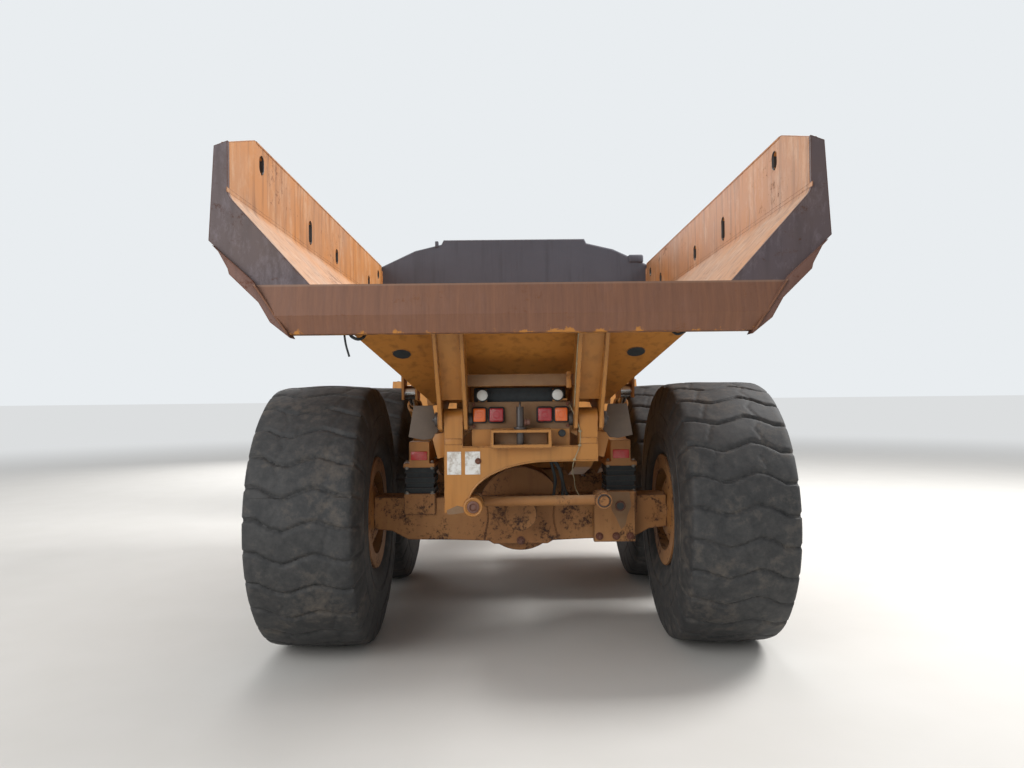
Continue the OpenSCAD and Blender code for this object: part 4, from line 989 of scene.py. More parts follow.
        # Brake and oil hoses from the frame down to the axle
        hoses = [
            [(0.1, -4.6, 1.36), (0.2, -4.58, 1.34), (0.26, -4.5, 1.27), (0.29, -4.36, 1.16), (0.3, -4.2, 1.06)],
            [(0.18, -4.62, 1.37), (0.235, -4.6, 1.32), (0.272, -4.52, 1.22), (0.3, -4.4, 1.13), (0.33, -4.22, 1.06)],
            [(-0.28, -4.58, 1.42), (0.0, -4.56, 1.4), (0.16, -4.56, 1.38), (0.22, -4.5, 1.26), (0.235, -4.3, 1.1),
             (0.235, -4.16, 1.05)],
        ]
        finish_piece("axle_hoses", [pipe(points, 0.011, 4) for points in hoses], "rear_frame", "moulded_rubber")
        return {"FINISHED"}


class TRUCK_OT_axles(bpy.types.Operator):
    """Builds the bolts, studs, covers and seams on the axles, the steel plates in the rubber mounts and the pins of the
    rods.
    """

    bl_idname = "truck.axles"
    bl_label = "Axle fittings"

    def execute(self, context):
        face_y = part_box("bogie_beams")[0].y
        axle_y = face_y + 0.15
        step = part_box("middle_axle")[1].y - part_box("rear_axle")[1].y
        studs = []
        for y in (axle_y - 0.138, axle_y + 0.138):
            for x in (0.626, 0.808):
                studs += [bolt((x, y, 1.266), (0, 0, -1), 0.016), bolt((x, y, 1.302), (0, 0, 1), 0.012),
                          bolt((x, y, 1.078), (0, 0, 1), 0.016)]
        studs += [copied(stud, Matrix.Translation((0, step, 0))) for stud in studs[:]]
        finish_piece("mount_studs", both(studs), "rear_frame", "zinc_plated")

        # Steel plates bonded between the rubber layers, and a dark disc in the bracket's torn hole as painted shade
        sheets = [block((0.608, axle_y - 0.134, z - 0.003), (0.826, axle_y + 0.134, z + 0.003), 0.001, 1)
                  for z in np.linspace(1.0783, 1.262, 6)[1:-1]]
        sheets += [copied(sheet, Matrix.Translation((0, step, 0))) for sheet in sheets[:]]
        torn_hole_shade = turned([(0, 0), (0.027, 0), (0.027, 0.003), (0, 0.003)], (0.7, BRACKET_Y, 0.985), (0, -1, 0), 24)
        finish_piece("mount_sheets", both(sheets) + [torn_hole_shade], "rear_frame", "dark_enamel")

        # Rim of the torn hole, bolts of the bracket, nuts at the cross rod's ends, drain plugs of the housings
        rod_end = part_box("axle_rods")[0].y
        plate_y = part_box("rear_lamps")[1].y - 0.05
        rusted = [ring((0.7, BRACKET_Y - 0.001, 0.985), (0, 1, 0), 0.031, 0.006, 28, 8)]
        rusted += [bolt((x, BRACKET_Y + 0.002, 0.775), (0, -1, 0), 0.022) for x in (0.551, 0.669, 0.768)]
        for x, y, radius in ((-0.308, plate_y - 0.012, 0.04), (0.548, rod_end + 0.002, 0.036)):
            rusted.append(turned([(0, 0), (radius, 0), (radius, 0.006), (radius * 0.55, 0.012), (radius * 0.5, 0.005),
                                  (0, 0.004)], (x, y, 1.066), (0, -1, 0), 28))
        rusted += [bolt((0, y - 0.126, 0.735), (0, -1, 0), 0.024) for y in (axle_y, axle_y + step)]
        finish_piece("bracket_bolts", rusted, "rear_frame", "scaled_steel")
        finish_piece("rod_pins", [ring((0.548, rod_end, 1.068), (0, 1, 0), 0.04, 0.005, 36, 8)], "rear_frame",
                     "worn_pin_steel")

        # Flanges of the brake drums with their bolts, and a breather on each housing
        covers = []
        for y in (axle_y, axle_y + step):
            for side in (-1, 1):
                covers.append(turned([(0.13, -0.01), (0.2, -0.01), (0.205, -0.006), (0.205, 0.01), (0.13, 0.01)],
                                     (side * 1.082, y, 0.93), (side, 0, 0), 48))
                covers += bolt_circle((side * 1.074, y, 0.93), (-side, 0, 0), 0.19, 12, 0.012)
            covers.append(bar((0.36, y, 1.04), (0.36, y, 1.09), 0.012, 12, 0.002))
            covers.append(bar((0.36, y, 1.085), (0.36, y, 1.1), 0.02, 6, 0.002))
        finish_piece("housing_covers", covers, "rear_frame", "cast_axle_enamel")

        # Ribs and seams cast on the housings
        seams = []
        for y in (axle_y - 0.126, axle_y + step - 0.126):  # the housings' rear faces
            seams += [pipe([(side * 0.26, y, 0.76), (side * 0.235, y, 0.9), (side * 0.25, y, 1.03)], 0.006, 2)
                      for side in (-1, 1)]
            seams += [block((x, y - 0.01, 0.962), (x + 0.22, y + 0.02, 1.074), 0.006) for x in (-0.82, 0.6)]
        finish_piece("housing_seams", seams, "rear_frame", "cast_axle_enamel")
        return {"FINISHED"}


class TRUCK_OT_bed(bpy.types.Operator):
    """Builds the bed's rails, welds, painted shade in its holes and slots, wear strips and tail fittings."""

    bl_idname = "truck.bed"
    bl_label = "Bed fittings"

    def execute(self, context):
        foot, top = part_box("bed_sides")
        tail_y, seam_z, wall_x = foot.y, foot.z, top.x
        inner_x = wall_x - 0.044
        head_y, flange_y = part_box("bed_headboard")[0].y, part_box("bed_tail")[0].y

        # Flat capping on the walls with its welds, the corner weld at the headboard, the seam over the slope
        caps = [block((inner_x - 0.003, tail_y + 0.46, top.z - 0.012), (wall_x + 0.004, head_y, top.z + 0.004), 0.004)]
        caps += [weld([(wall_x, y, top.z - 0.078), (wall_x, y + 0.16, top.z - 0.078)], 0.006)
                 for y in np.arange(tail_y + 0.85, head_y - 0.3, 0.62)]
        caps += [bar((inner_x - 0.002, head_y - 0.002, seam_z - 0.02), (inner_x - 0.002, head_y - 0.002, top.z - 0.06),
                     0.012, 8),
                 block((inner_x - 0.0015, flange_y + 0.02, seam_z - 0.014), (inner_x + 0.002, head_y, seam_z + 0.014),
                       0.001, 1)]
        finish_piece("bed_caps", both(caps), "bed", "hauled_bed_enamel")

        # Painted shadow in the slots: a dark plate on the front edge of each slot and a dark bead round that edge;
        # shares of the bed's run and wall
        slot_shade = []
        wall_h, round_off = top.z - seam_z, 0.036
        for share, low, high in ((0.12, 0.59, 0.85), (0.348, 0.1, 0.51), (0.526, 0.11, 0.4), (0.831, 0.15, 0.41),
                                 (0.95, 0.57, 0.78)):
            y, low, high = Y_TAIL + BED_RUN * share, seam_z + low * wall_h, seam_z + high * wall_h
            edge = [(inner_x - 0.001, y + 0.0359 * math.cos(a),
                     (high - round_off if a >= 0 else low + round_off) + round_off * math.sin(a))
                    for a in np.linspace(-math.pi / 2, math.pi / 2, 12)]
            slot_shade += [block((inner_x + 0.002, y + 0.028, low + 0.02), (wall_x - 0.01, y + 0.037, high - 0.02),
                             0.003, 1),
                       pipe(edge, 0.006, 2, smooth=False)]
        finish_piece("slot_shadows", both(slot_shade), "bed", "dark_enamel")

        # Wear strips on the floor and slopes
        strips = [block((-0.56, y, 1.762), (0.56, y + 0.05, 1.772), 0.004)
                  for y in np.arange(head_y - 0.5, tail_y + 1.4, -0.62)]
        finish_piece("wear_strips", strips, "bed", "scaled_steel")

        # Headboard: rolled rim, two lifting lugs, stiffeners on its front
        outline = [(wall_x, top.z - 0.05), (1.206, 3.525), (0.875, 3.605), (0.85, 3.657)]
        rim = [(x, head_y + 0.022, z) for x, z in outline] + [(-x, head_y + 0.022, z) for x, z in reversed(outline)]
        shape = [pipe(rim, 0.022, 3, smooth=False),
                 block((1.4, head_y - 0.01, 3.37), (1.585, head_y + 0.12, 3.475), 0.024, 3),
                 block((-0.965, head_y - 0.012, 3.585), (-0.925, head_y + 0.05, 3.66), 0.008)]
        shape += [block((x - 0.05, head_y + 0.04, 1.95), (x + 0.05, head_y + 0.12, 3.35), 0.012)
                  for x in (-1.1, -0.55, 0.0, 0.55, 1.1)]
        shape += [block((-1.15, head_y + 0.04, z), (1.15, head_y + 0.13, z + 0.09), 0.012) for z in (2.3, 3.36)]
        finish_piece("headboard_fittings", shape, "bed", "shaded_headboard_steel")

        # Outer skin that stands out behind the flanges, rusty and dark also as painted shade for its shaded lower half,
        # and welds round flange and beam
        edge = ((1.705, 2.622), (1.669, 2.583), (1.618, 2.489), (1.61, 2.457), (1.449, 2.299), (1.386, 2.189),
                (1.275, 2.1), (1.29, 2.13), (1.42, 2.33), (1.48, 2.42), (1.6, 2.53))
        skin = plate([(x, flange_y + 0.012, z) for x, z in edge], (0, 0.11, 0), 0.003)
        finish_piece("tail_skin", both([skin]), "bed", "scaled_steel")
        welds = [weld([(1.29, flange_y + 0.007, 2.125), (1.47, flange_y + 0.007, 2.396)], 0.006)]
        finish_piece("tail_welds", both(welds), "bed", "tail_beam_steel")

        # Dark discs in the ramp's underside as painted shade in its holes, rims round them, short hoses below the beam
        slope = Vector((0, -RAMP_SLOPE, -1)).normalized()
        hole_shades, rims = [], []
        for x in (-0.745, 0.73):
            centre = Vector((x, -4.83, 2.0405))
            hole_shades.append(turned([(0, 0), (0.055, 0), (0.056, 0.003), (0, 0.004)], centre, slope, 40))
            rims.append(ring(centre, slope, 0.058, 0.0035, 48, 8))
        hoses = [pipe([(-0.999, -5.33, 2.125), (-0.99, -5.335, 2.07), (-0.972, -5.33, 2.0)], 0.006, 3),
                 pipe([(-0.969, -5.33, 2.13), (-0.955, -5.33, 2.112), (-0.915, -5.32, 2.1), (-0.88, -5.26, 2.15)],
                      0.009, 4),
                 pipe([(0.86, -5.3, 2.13), (0.885, -5.31, 2.112), (0.93, -5.32, 2.125)], 0.008, 4)]
        finish_piece("ramp_hole_shades", hole_shades + hoses, "bed", "moulded_rubber")

        # Weld beads between legs and ramp, a bolt and clamp on the cross box, wire down the right leg
        legs = [weld([(x, y, 1.717 + (-4.2 - y) * RAMP_SLOPE) for y in (-5.27, -4.86)], 0.008)
                for x in (-0.34, 0.34, -0.52, 0.52)]
        for x in (-0.43, 0.43):
            legs.append(weld([(x - 0.068, -4.85, 1.912), (x + 0.068, -4.85, 1.912)], 0.006))
            legs.append(block((x - 0.11, -4.74, 1.6), (x - 0.088, -4.68, 1.64), 0.004))
        # A darker face on the cross box: dust and painted shade under the bed
        face = block((-0.333, -4.8535, 1.834), (0.333, -4.8485, 1.902), 0.002)
        finish_piece("cross_box_face", [face], "bed", "dust_and_shade_enamel")
        legs += [block((0.286, -4.875, 1.815), (0.318, -4.842, 1.918), 0.004),
                 bolt((0.302, -4.873, 1.885), (0, -1, 0), 0.014)]
        legs += [ring((side * 0.5225, *BED_PIN), (1, 0, 0), 0.062, 0.009, 36, 8) for side in (-1, 1)]
        finish_piece("leg_fittings", legs + rims, "bed", "machine_enamel")
        run = ((-5.28, 2.235), (-5.2, 2.13), (-5.06, 1.96), (-4.93, 1.79), (-4.86, 1.7))
        wire = [pipe([(0.3345, y, z) for y, z in run], 0.003, 3)]
        wire += [block((0.331, y - 0.008, z - 0.008), (0.339, y + 0.008, z + 0.008), 0.002) for y, z in run[1:4]]
        finish_piece("leg_wire", wire, "bed", "wire_sheath")

        # Outer sides: weld beads along both edges of the ribs, bottom rail under the slope
        beads = [weld([(wall_x + 0.003, Y_TAIL + BED_RUN * share + edge, z) for z in (seam_z, top.z - 0.09)], 0.006)
                 for share in (0.093, 0.437, 0.709) for edge in (-0.004, 0.094)]
        beads.append(block((0.63, -3.9, 1.7), (0.69, head_y, 1.785), 0.01))
        finish_piece("side_beads", both(beads), "bed", "machine_enamel")
        return {"FINISHED"}


class TRUCK_OT_wheels(bpy.types.Operator):
    """Builds the hub covers, nuts, lock rings and valves of the six wheels."""

    bl_idname = "truck.wheels"
    bl_label = "Wheels"

    def execute(self, context):
        centre, across = (0, 0, 0), (1, 0, 0)
        # One hub at the origin: wheel nuts, cover with its bolts and plug, lock ring, seat ring, valve, inner bead
        parts = bolt_circle((0.186, 0, 0), across, 0.3, 20, 0.022)
        parts += bolt_circle((0.345, 0, 0), across, 0.118, 12, 0.014)
        for outline, steps in (
            ([(0, 0.345), (0.085, 0.345), (0.09, 0.352), (0.05, 0.362), (0, 0.364)], 36),
            ([(0.586, 0.262), (0.604, 0.262), (0.606, 0.275), (0.598, 0.282), (0.588, 0.28)], 96),
            ([(0.236, 0.172), (0.262, 0.178), (0.262, 0.192), (0.236, 0.2)], 64),
            ([(0.598, -0.345), (0.612, -0.345), (0.616, -0.338), (0.612, -0.33), (0.598, -0.33)], 96),
        ):
            parts.append(turned(outline, centre, across, steps))
        parts += [bar((0.34, 0.05, 0), (0.372, 0.05, 0), 0.014, 6, 0.002),
                  pipe([(0.25, 0.52, 0.03), (0.29, 0.5, 0.03), (0.3, 0.47, 0.03)], 0.007, 3),
                  bar((0.3, 0.478, 0.03), (0.302, 0.452, 0.03), 0.01, 12, 0.001)]
        pattern = joined("hub_pattern", parts)
        # Set in each wheel, turned a little further from one to the next
        for axle in AXLES:
            for name, side in SIDES:
                low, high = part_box("rim_%s_%s" % (axle, name))
                middle = Vector((side * 1.385, (low.y + high.y) / 2, (low.z + high.z) / 2))
                turn = (Matrix.Rotation(math.pi if side < 0 else 0.0, 4, "Z")
                        @ Matrix.Rotation(0.4 * side + middle.y, 4, "X"))
                finish_piece("hub_%s_%s" % (axle, name), [copied(pattern, Matrix.Translation(middle) @ turn)],
                             "wheel_%s_%s" % (axle, name), "cast_axle_enamel")
        take(pattern)
        bpy.ops.object.delete()
        return {"FINISHED"}


class TRUCK_OT_chassis(bpy.types.Operator):
    """Builds the cylinders' glands, the hinge's bolts, the lines along the frame and the engine's dressing."""

    bl_idname = "truck.chassis"
    bl_label = "Chassis fittings"

    def execute(self, context):
        # Glands, end rings and fixed steel lines on each cylinder, each on its own body. Per kind: the radius, how far
        # the mouth lies from the fixed eye, and where both eyes lie on the right side
        for kind, radius, mouth, fixed_eye, rod_eye in (
            ("hoist", 0.058, 1.8306, (0.9, -1.3, 0.95), (0.9, -3.21, 1.8)),
            ("steer", 0.048, 0.8463, (0.42, 1.599, 1.06), (0.3, 0.459, 1.06)),
        ):
            for name, side in SIDES:
                start, end = (Vector((side * x, y, z)) for x, y, z in (fixed_eye, rod_eye))
                along = (end - start).normalized()
                up = (Vector((0, 0, 1)) - along * along.z).normalized()
                inner, gland, foot = radius - 0.003, radius + 0.007, radius + 0.005
                parts = [turned([(inner, 0), (gland, 0.003), (gland, 0.05), (inner, 0.053)],
                                start + along * (mouth - 0.056), along, 32),
                         turned([(inner, 0), (foot, 0.003), (foot, 0.02), (inner, 0.023)],
                                start + along * 0.13, along, 32)]
                line = [start + along * a + up * (radius + b) for a, b in
                        ((0.17, 0.0), (0.19, 0.016), (mouth - 0.12, 0.016), (mouth - 0.09, 0.0))]
                parts.append(pipe(line, 0.007, 3))
                half = Vector((0.014, 0.012, 0.01))
                for share in (0.35, 0.7):
                    spot = start + along * (0.17 + (mouth - 0.3) * share) + up * (radius + 0.006)
                    parts.append(block(spot - half, spot + half, 0.004))
                finish_piece("%s_gland_%s" % (kind, name), parts, "%s_barrel_%s" % (kind, name), "machine_enamel")

        # Bolts of the hinge between the frames
        low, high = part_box("hitch_yoke")
        parts = [bolt((x, 0.369, z), (0, 1, 0), 0.016) for x in (-0.19, 0.19) for z in (low.z + 0.13, high.z - 0.13)]
        finish_piece("hitch_bolts", parts, "hitch", "zinc_plated")

        # Steel lines and clamps along the rear frame's rails
        lines = [bar((0.4965, -3.8, z), (0.4965, -0.6, z), 0.008, 10) for z in (1.15, 1.18, 1.21)]
        clamps = []
        for y in (-3.6, -2.9, -1.6, -0.9):
            clamps += [block((0.489, y - 0.014, 1.13), (0.509, y + 0.014, 1.23), 0.003),
                       bolt((0.509, y, 1.165), (1, 0, 0), 0.008, False)]
        finish_piece("frame_lines", both(lines), "rear_frame", "dark_enamel")
        finish_piece("frame_clamps", both(clamps), "rear_frame", "zinc_plated")

        # Engine: cover, intake runners, filters and the radiator's fins
        low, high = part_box("engine")
        parts = [block((-0.15, low.y + 0.1, high.z - 0.01), (0.15, high.y - 0.1, high.z + 0.03), 0.014, 3)]
        for y in np.linspace(low.y + 0.14, high.y - 0.14, 6):
            parts.append(pipe([(0.13, y, high.z + 0.012), (0.2, y, high.z + 0.022), (high.x - 0.03, y, high.z - 0.002)],
                              0.024, 4))
            parts.append(bolt((-0.11, y, high.z + 0.03), (0, 0, 1), 0.008))
        for y in (low.y + 0.4, low.y + 0.56):
            parts.append(turned([(0, 0), (0.05, 0), (0.055, 0.01), (0.055, 0.2), (0.045, 0.215), (0, 0.215)],
                                (low.x + 0.08, y, high.z - 0.01), (0, 0, 1), 28))
        finish_piece("engine_dressing", parts, "tractor", "engine_casting")
        low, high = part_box("radiator")
        fin = block((low.x + 0.03, high.y - 0.002, low.z + 0.04), (low.x + 0.034, high.y + 0.008, high.z - 0.04))
        frame_bars = [bar((low.x + 0.02, high.y, z), (high.x - 0.02, high.y, z), 0.014, 12)
                      for z in (low.z + 0.03, high.z - 0.03)]
        finish_piece("radiator_fins", [in_row(fin, 72, (0.0147, 0, 0))] + frame_bars, "tractor", "dark_enamel")
        return {"FINISHED"}


def cushion(low, high, crown):
    """A stuffed pad between two corners: its faces crown outwards and its sides pull in between the corners."""
    made = block(low, high)
    take(made)
    bpy.ops.object.mode_set(mode="EDIT")
    bpy.ops.mesh.select_all(action="SELECT")
    bpy.ops.mesh.subdivide(number_cuts=7)
    bpy.ops.object.mode_set(mode="OBJECT")
    middle, half = (Vector(low) + Vector(high)) / 2, (Vector(high) - Vector(low)) / 2
    for vertex in made.data.vertices:
        at = [(vertex.co[k] - middle[k]) / half[k] for k in range(3)]
        for k in range(3):
            u, v = at[(k + 1) % 3], at[(k + 2) % 3]
            full = (1 - u * u) * (1 - v * v)
            vertex.co[k] -= at[k] * crown * (1 - full) * (0.55 + 0.45 * abs(u * v))
    return add_modifier(made, "SUBSURF", levels=1)


class TRUCK_OT_cab(bpy.types.Operator):
    """Builds the cab's roof, windscreen, seals, door fittings, lamps, seat and controls."""

    bl_idname = "truck.cab"
    bl_label = "Cab"

    def execute(self, context):
        # Roof with pressed ribs and gutters
        low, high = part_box("cab_roof")
        roof = [block(low, (high.x, high.y, high.z - 0.012), 0.03, 4)]
        roof += [block((x - 0.06, low.y + 0.16, high.z - 0.03), (x + 0.06, high.y - 0.16, high.z), 0.011, 3)
                 for x in (-0.5, -0.17, 0.17, 0.5)]
        right, left, front, rear = high.x - 0.006, low.x + 0.006, high.y - 0.02, low.y + 0.01
        gutter = [(x, y, low.z + 0.014) for x, y in ((right, front), (right, rear), (left, rear), (left, front))]
        roof.append(pipe(gutter, 0.012, 3, smooth=False))
        finish_piece("roof_panel", roof, "tractor", "machine_enamel", stands_for=("cab_roof",))

        # Windscreen, seals round every window, wiper
        def slant(z, back=0.0):
            return 3.029 - (z - 2.65) * 0.18 / 0.95 - back
        pane = plate([(x, slant(z, 0.02), z) for x, z in ((-0.679, 2.701), (0.679, 2.701), (0.679, 3.519),
                                                          (-0.679, 3.519))], (0, -0.006, 0))
        finish_piece("windscreen", [pane], "tractor", "tinted_glass")
        opening = ((-0.676, 2.704), (0.676, 2.704), (0.676, 3.516), (-0.676, 3.516))
        seals = [seal([(x, slant(z, 0.014), z) for x, z in opening], 0.01),
                 seal([(x, 1.292, z) for x, z in opening], 0.01),
                 seal([(0.808, y, z) for y, z in ((1.443, 2.704), (2.605, 2.704), (2.605, 3.516), (1.443, 3.516))],
                      0.01)]
        seals += [bar((0.1, slant(2.72, -0.012), 2.72), (0.1, slant(2.72, 0.01), 2.72), 0.018, 16, 0.003),
                  bar((0.1, slant(2.72, -0.012), 2.72), (-0.16, slant(3.2, -0.016), 3.2), 0.006, 10),
                  bar((-0.13, slant(2.86, -0.008), 2.86), (-0.19, slant(3.5, -0.008), 3.5), 0.008, 8)]
        finish_piece("window_seals", seals, "tractor", "moulded_rubber")

        # Door: pressed panel, handle, seal, hinge bolts
        x = -0.82
        door = [block((x - 0.008, 1.68, 2.1), (x + 0.004, 2.51, 2.6), 0.012, 3)]
        door += [bolt((x - 0.001, 1.63, z + dz), (-1, 0, 0), 0.01) for z in (2.27, 3.27) for dz in (-0.012, 0.03)]
        finish_piece("door_panel", door, "door", "machine_enamel")
        handle = [pipe([(x, 2.44, 2.62), (x - 0.035, 2.44, 2.625), (x - 0.035, 2.44, 2.66), (x, 2.44, 2.665)],
                       0.008, 3),
                  turned([(0, 0), (0.02, 0), (0.02, 0.012), (0.008, 0.014), (0, 0.01)], (x, 2.52, 2.62),
                         (-1, 0, 0), 24)]
        handle.append(seal([(x + 0.012, y, z) for y, z in ((1.663, 2.704), (2.525, 2.704), (2.525, 3.436),
                                                           (1.663, 3.436))], 0.01))
        finish_piece("door_handle", handle, "door", "moulded_rubber")

        # Work lamps under the roof, an amber beacon on its stalk behind the cab
        cases, lenses = [], []
        for places, y, face in (((-0.62, -0.3, 0.3, 0.62), 2.9, 1), ((-0.6, 0.6), 1.26, -1)):
            for x in places:
                cases.append(block((x - 0.065, y - 0.032, 3.6), (x + 0.065, y + 0.032, 3.69), 0.014, 3))
                lenses.append(block((x - 0.054, y + face * 0.03, 3.612), (x + 0.054, y + face * 0.037, 3.678), 0.003))
        cases += [pipe([(0.7, 1.29, 3.3), (0.7, 1.22, 3.3), (0.7, 1.2, 3.34), (0.7, 1.2, 3.5)], 0.012, 3),
                  turned([(0, 0), (0.06, 0), (0.06, 0.02), (0.05, 0.03), (0, 0.03)], (0.7, 1.2, 3.5), (0, 0, 1), 32)]
        finish_piece("lamp_cases", cases, "tractor", "grained_plastic")
        finish_piece("work_lamp_lenses", lenses, "tractor", "clear_lens")
        beacon = turned([(0, 0), (0.052, 0), (0.052, 0.02), (0.047, 0.024), (0.047, 0.085), (0.036, 0.108),
                         (0.015, 0.118), (0, 0.119)], (0.7, 1.2, 3.528), (0, 0, 1), 36)
        finish_piece("beacon", [beacon], "tractor", "amber_lens")

        # Seat on its base, armrests, dash with dials, steering wheel, pedals, floor mat
        base = [block((-0.2, 1.56, 2.012), (0.2, 1.98, 2.1), 0.02, 3),
                block((-0.23, 1.52, 2.26), (0.23, 2.01, 2.32), 0.02, 3)]
        for k in range(5):  # folds of the boot round the seat's spring
            z, half = 2.11 + k * 0.031, 0.19 - 0.012 * (k % 2)
            base.append(block((-half, 1.58, z), (half, 1.96, z + 0.026), 0.012, 3))
        base += [block((x - 0.04, 1.56, 2.6), (x + 0.04, 1.9, 2.655), 0.02, 3) for x in (-0.3, 0.3)]
        base += [bar((x, 1.57, 2.35), (x, 1.57, 2.61), 0.018, 12) for x in (-0.3, 0.3)]
        base.append(block((-0.22, 1.4, 2.42), (0.22, 1.43, 3.1), 0.014, 3))
        dash_y = 2.669
        base += [block((-0.5, dash_y + 0.03, 2.011), (0.5, 2.929, 2.52), 0.03, 3),
                 plate([(-0.46, dash_y, 2.4), (0.46, dash_y, 2.4), (0.46, dash_y + 0.14, 2.595),
                        (-0.46, dash_y + 0.14, 2.595)], (0, 0.1, 0), 0.012),
                 block((-0.36, 2.1, 2.011), (0.36, 2.66, 2.02), 0.004)]
        base += [bar((-0.34, 2.12 + k * 0.039, 2.02), (0.34, 2.12 + k * 0.039, 2.02), 0.005, 6) for k in range(14)]
        base += [block((0.3, 1.5, 2.011), (0.5, 2.1, 2.42), 0.03, 3),
                 bar((0.4, 1.95, 2.4), (0.4, 1.98, 2.56), 0.012, 12),
                 turned([(0, -0.03), (0.02, -0.024), (0.026, 0), (0.02, 0.024), (0, 0.03)], (0.4, 1.98, 2.57),
                        (0, 0, 1), 20)]
        base += [block((x - 0.045, 2.6, 2.03), (x + 0.045, 2.625, 2.17), 0.008) for x in (-0.12, 0.12)]
        wheel_axis = Vector((0, -0.75, 0.66)).normalized()
        hub = Vector((0, 2.42, 2.62))
        base += [ring(hub, wheel_axis, 0.2, 0.014, 64, 12), bar(hub, Vector((0, 2.7, 2.36)), 0.026, 16),
                 turned([(0, -0.02), (0.05, -0.02), (0.06, 0), (0.03, 0.012), (0, 0.014)], hub, wheel_axis, 28)]
        across = Vector((1, 0, 0))
        down = wheel_axis.cross(across)
        for spoke in (across, -across, -down if down.z > 0 else down):
            base.append(bar(hub + spoke * 0.05, hub + spoke * 0.195, 0.011, 10))
        finish_piece("cab_controls", base, "tractor", "grained_plastic", stands_for=("cab_interior",))
        dials = []
        tilt = Vector((0, -0.81, 0.585)).normalized()
        for x in (-0.3, -0.15, 0.0, 0.15, 0.3):
            spot = (x, dash_y + 0.062, 2.49)
            dials += [ring(spot, tilt, 0.045, 0.006, 32, 8),
                      turned([(0, -0.004), (0.043, -0.004), (0.043, 0.001), (0, 0.001)], spot, tilt, 32)]
        finish_piece("dash_dials", dials, "tractor", "dark_enamel")
        for name, low, high, crown in (("seat_cushion", (-0.25, 1.5, 2.315), (0.25, 2.03, 2.47), 0.03),
                                       ("seat_back", (-0.24, 1.425, 2.46), (0.24, 1.555, 3.02), 0.028),
                                       ("seat_head", (-0.15, 1.43, 3.02), (0.15, 1.53, 3.15), 0.02)):
            pad = finish_piece(name, [cushion(low, high, crown)], "tractor", "woven_seat_cloth",
                               angle=80)
        piping = [pipe([(x, 1.53, 2.452), (x, 1.75, 2.466), (x, 2.0, 2.452)], 0.004, 2) for x in (-0.12, 0.12)]
        piping += [pipe([(x, 1.548, 2.5), (x, 1.553, 2.74), (x, 1.548, 2.98)], 0.004, 2) for x in (-0.11, 0.11)]
        finish_piece("seat_piping", piping, "tractor", "moulded_rubber")
        return {"FINISHED"}


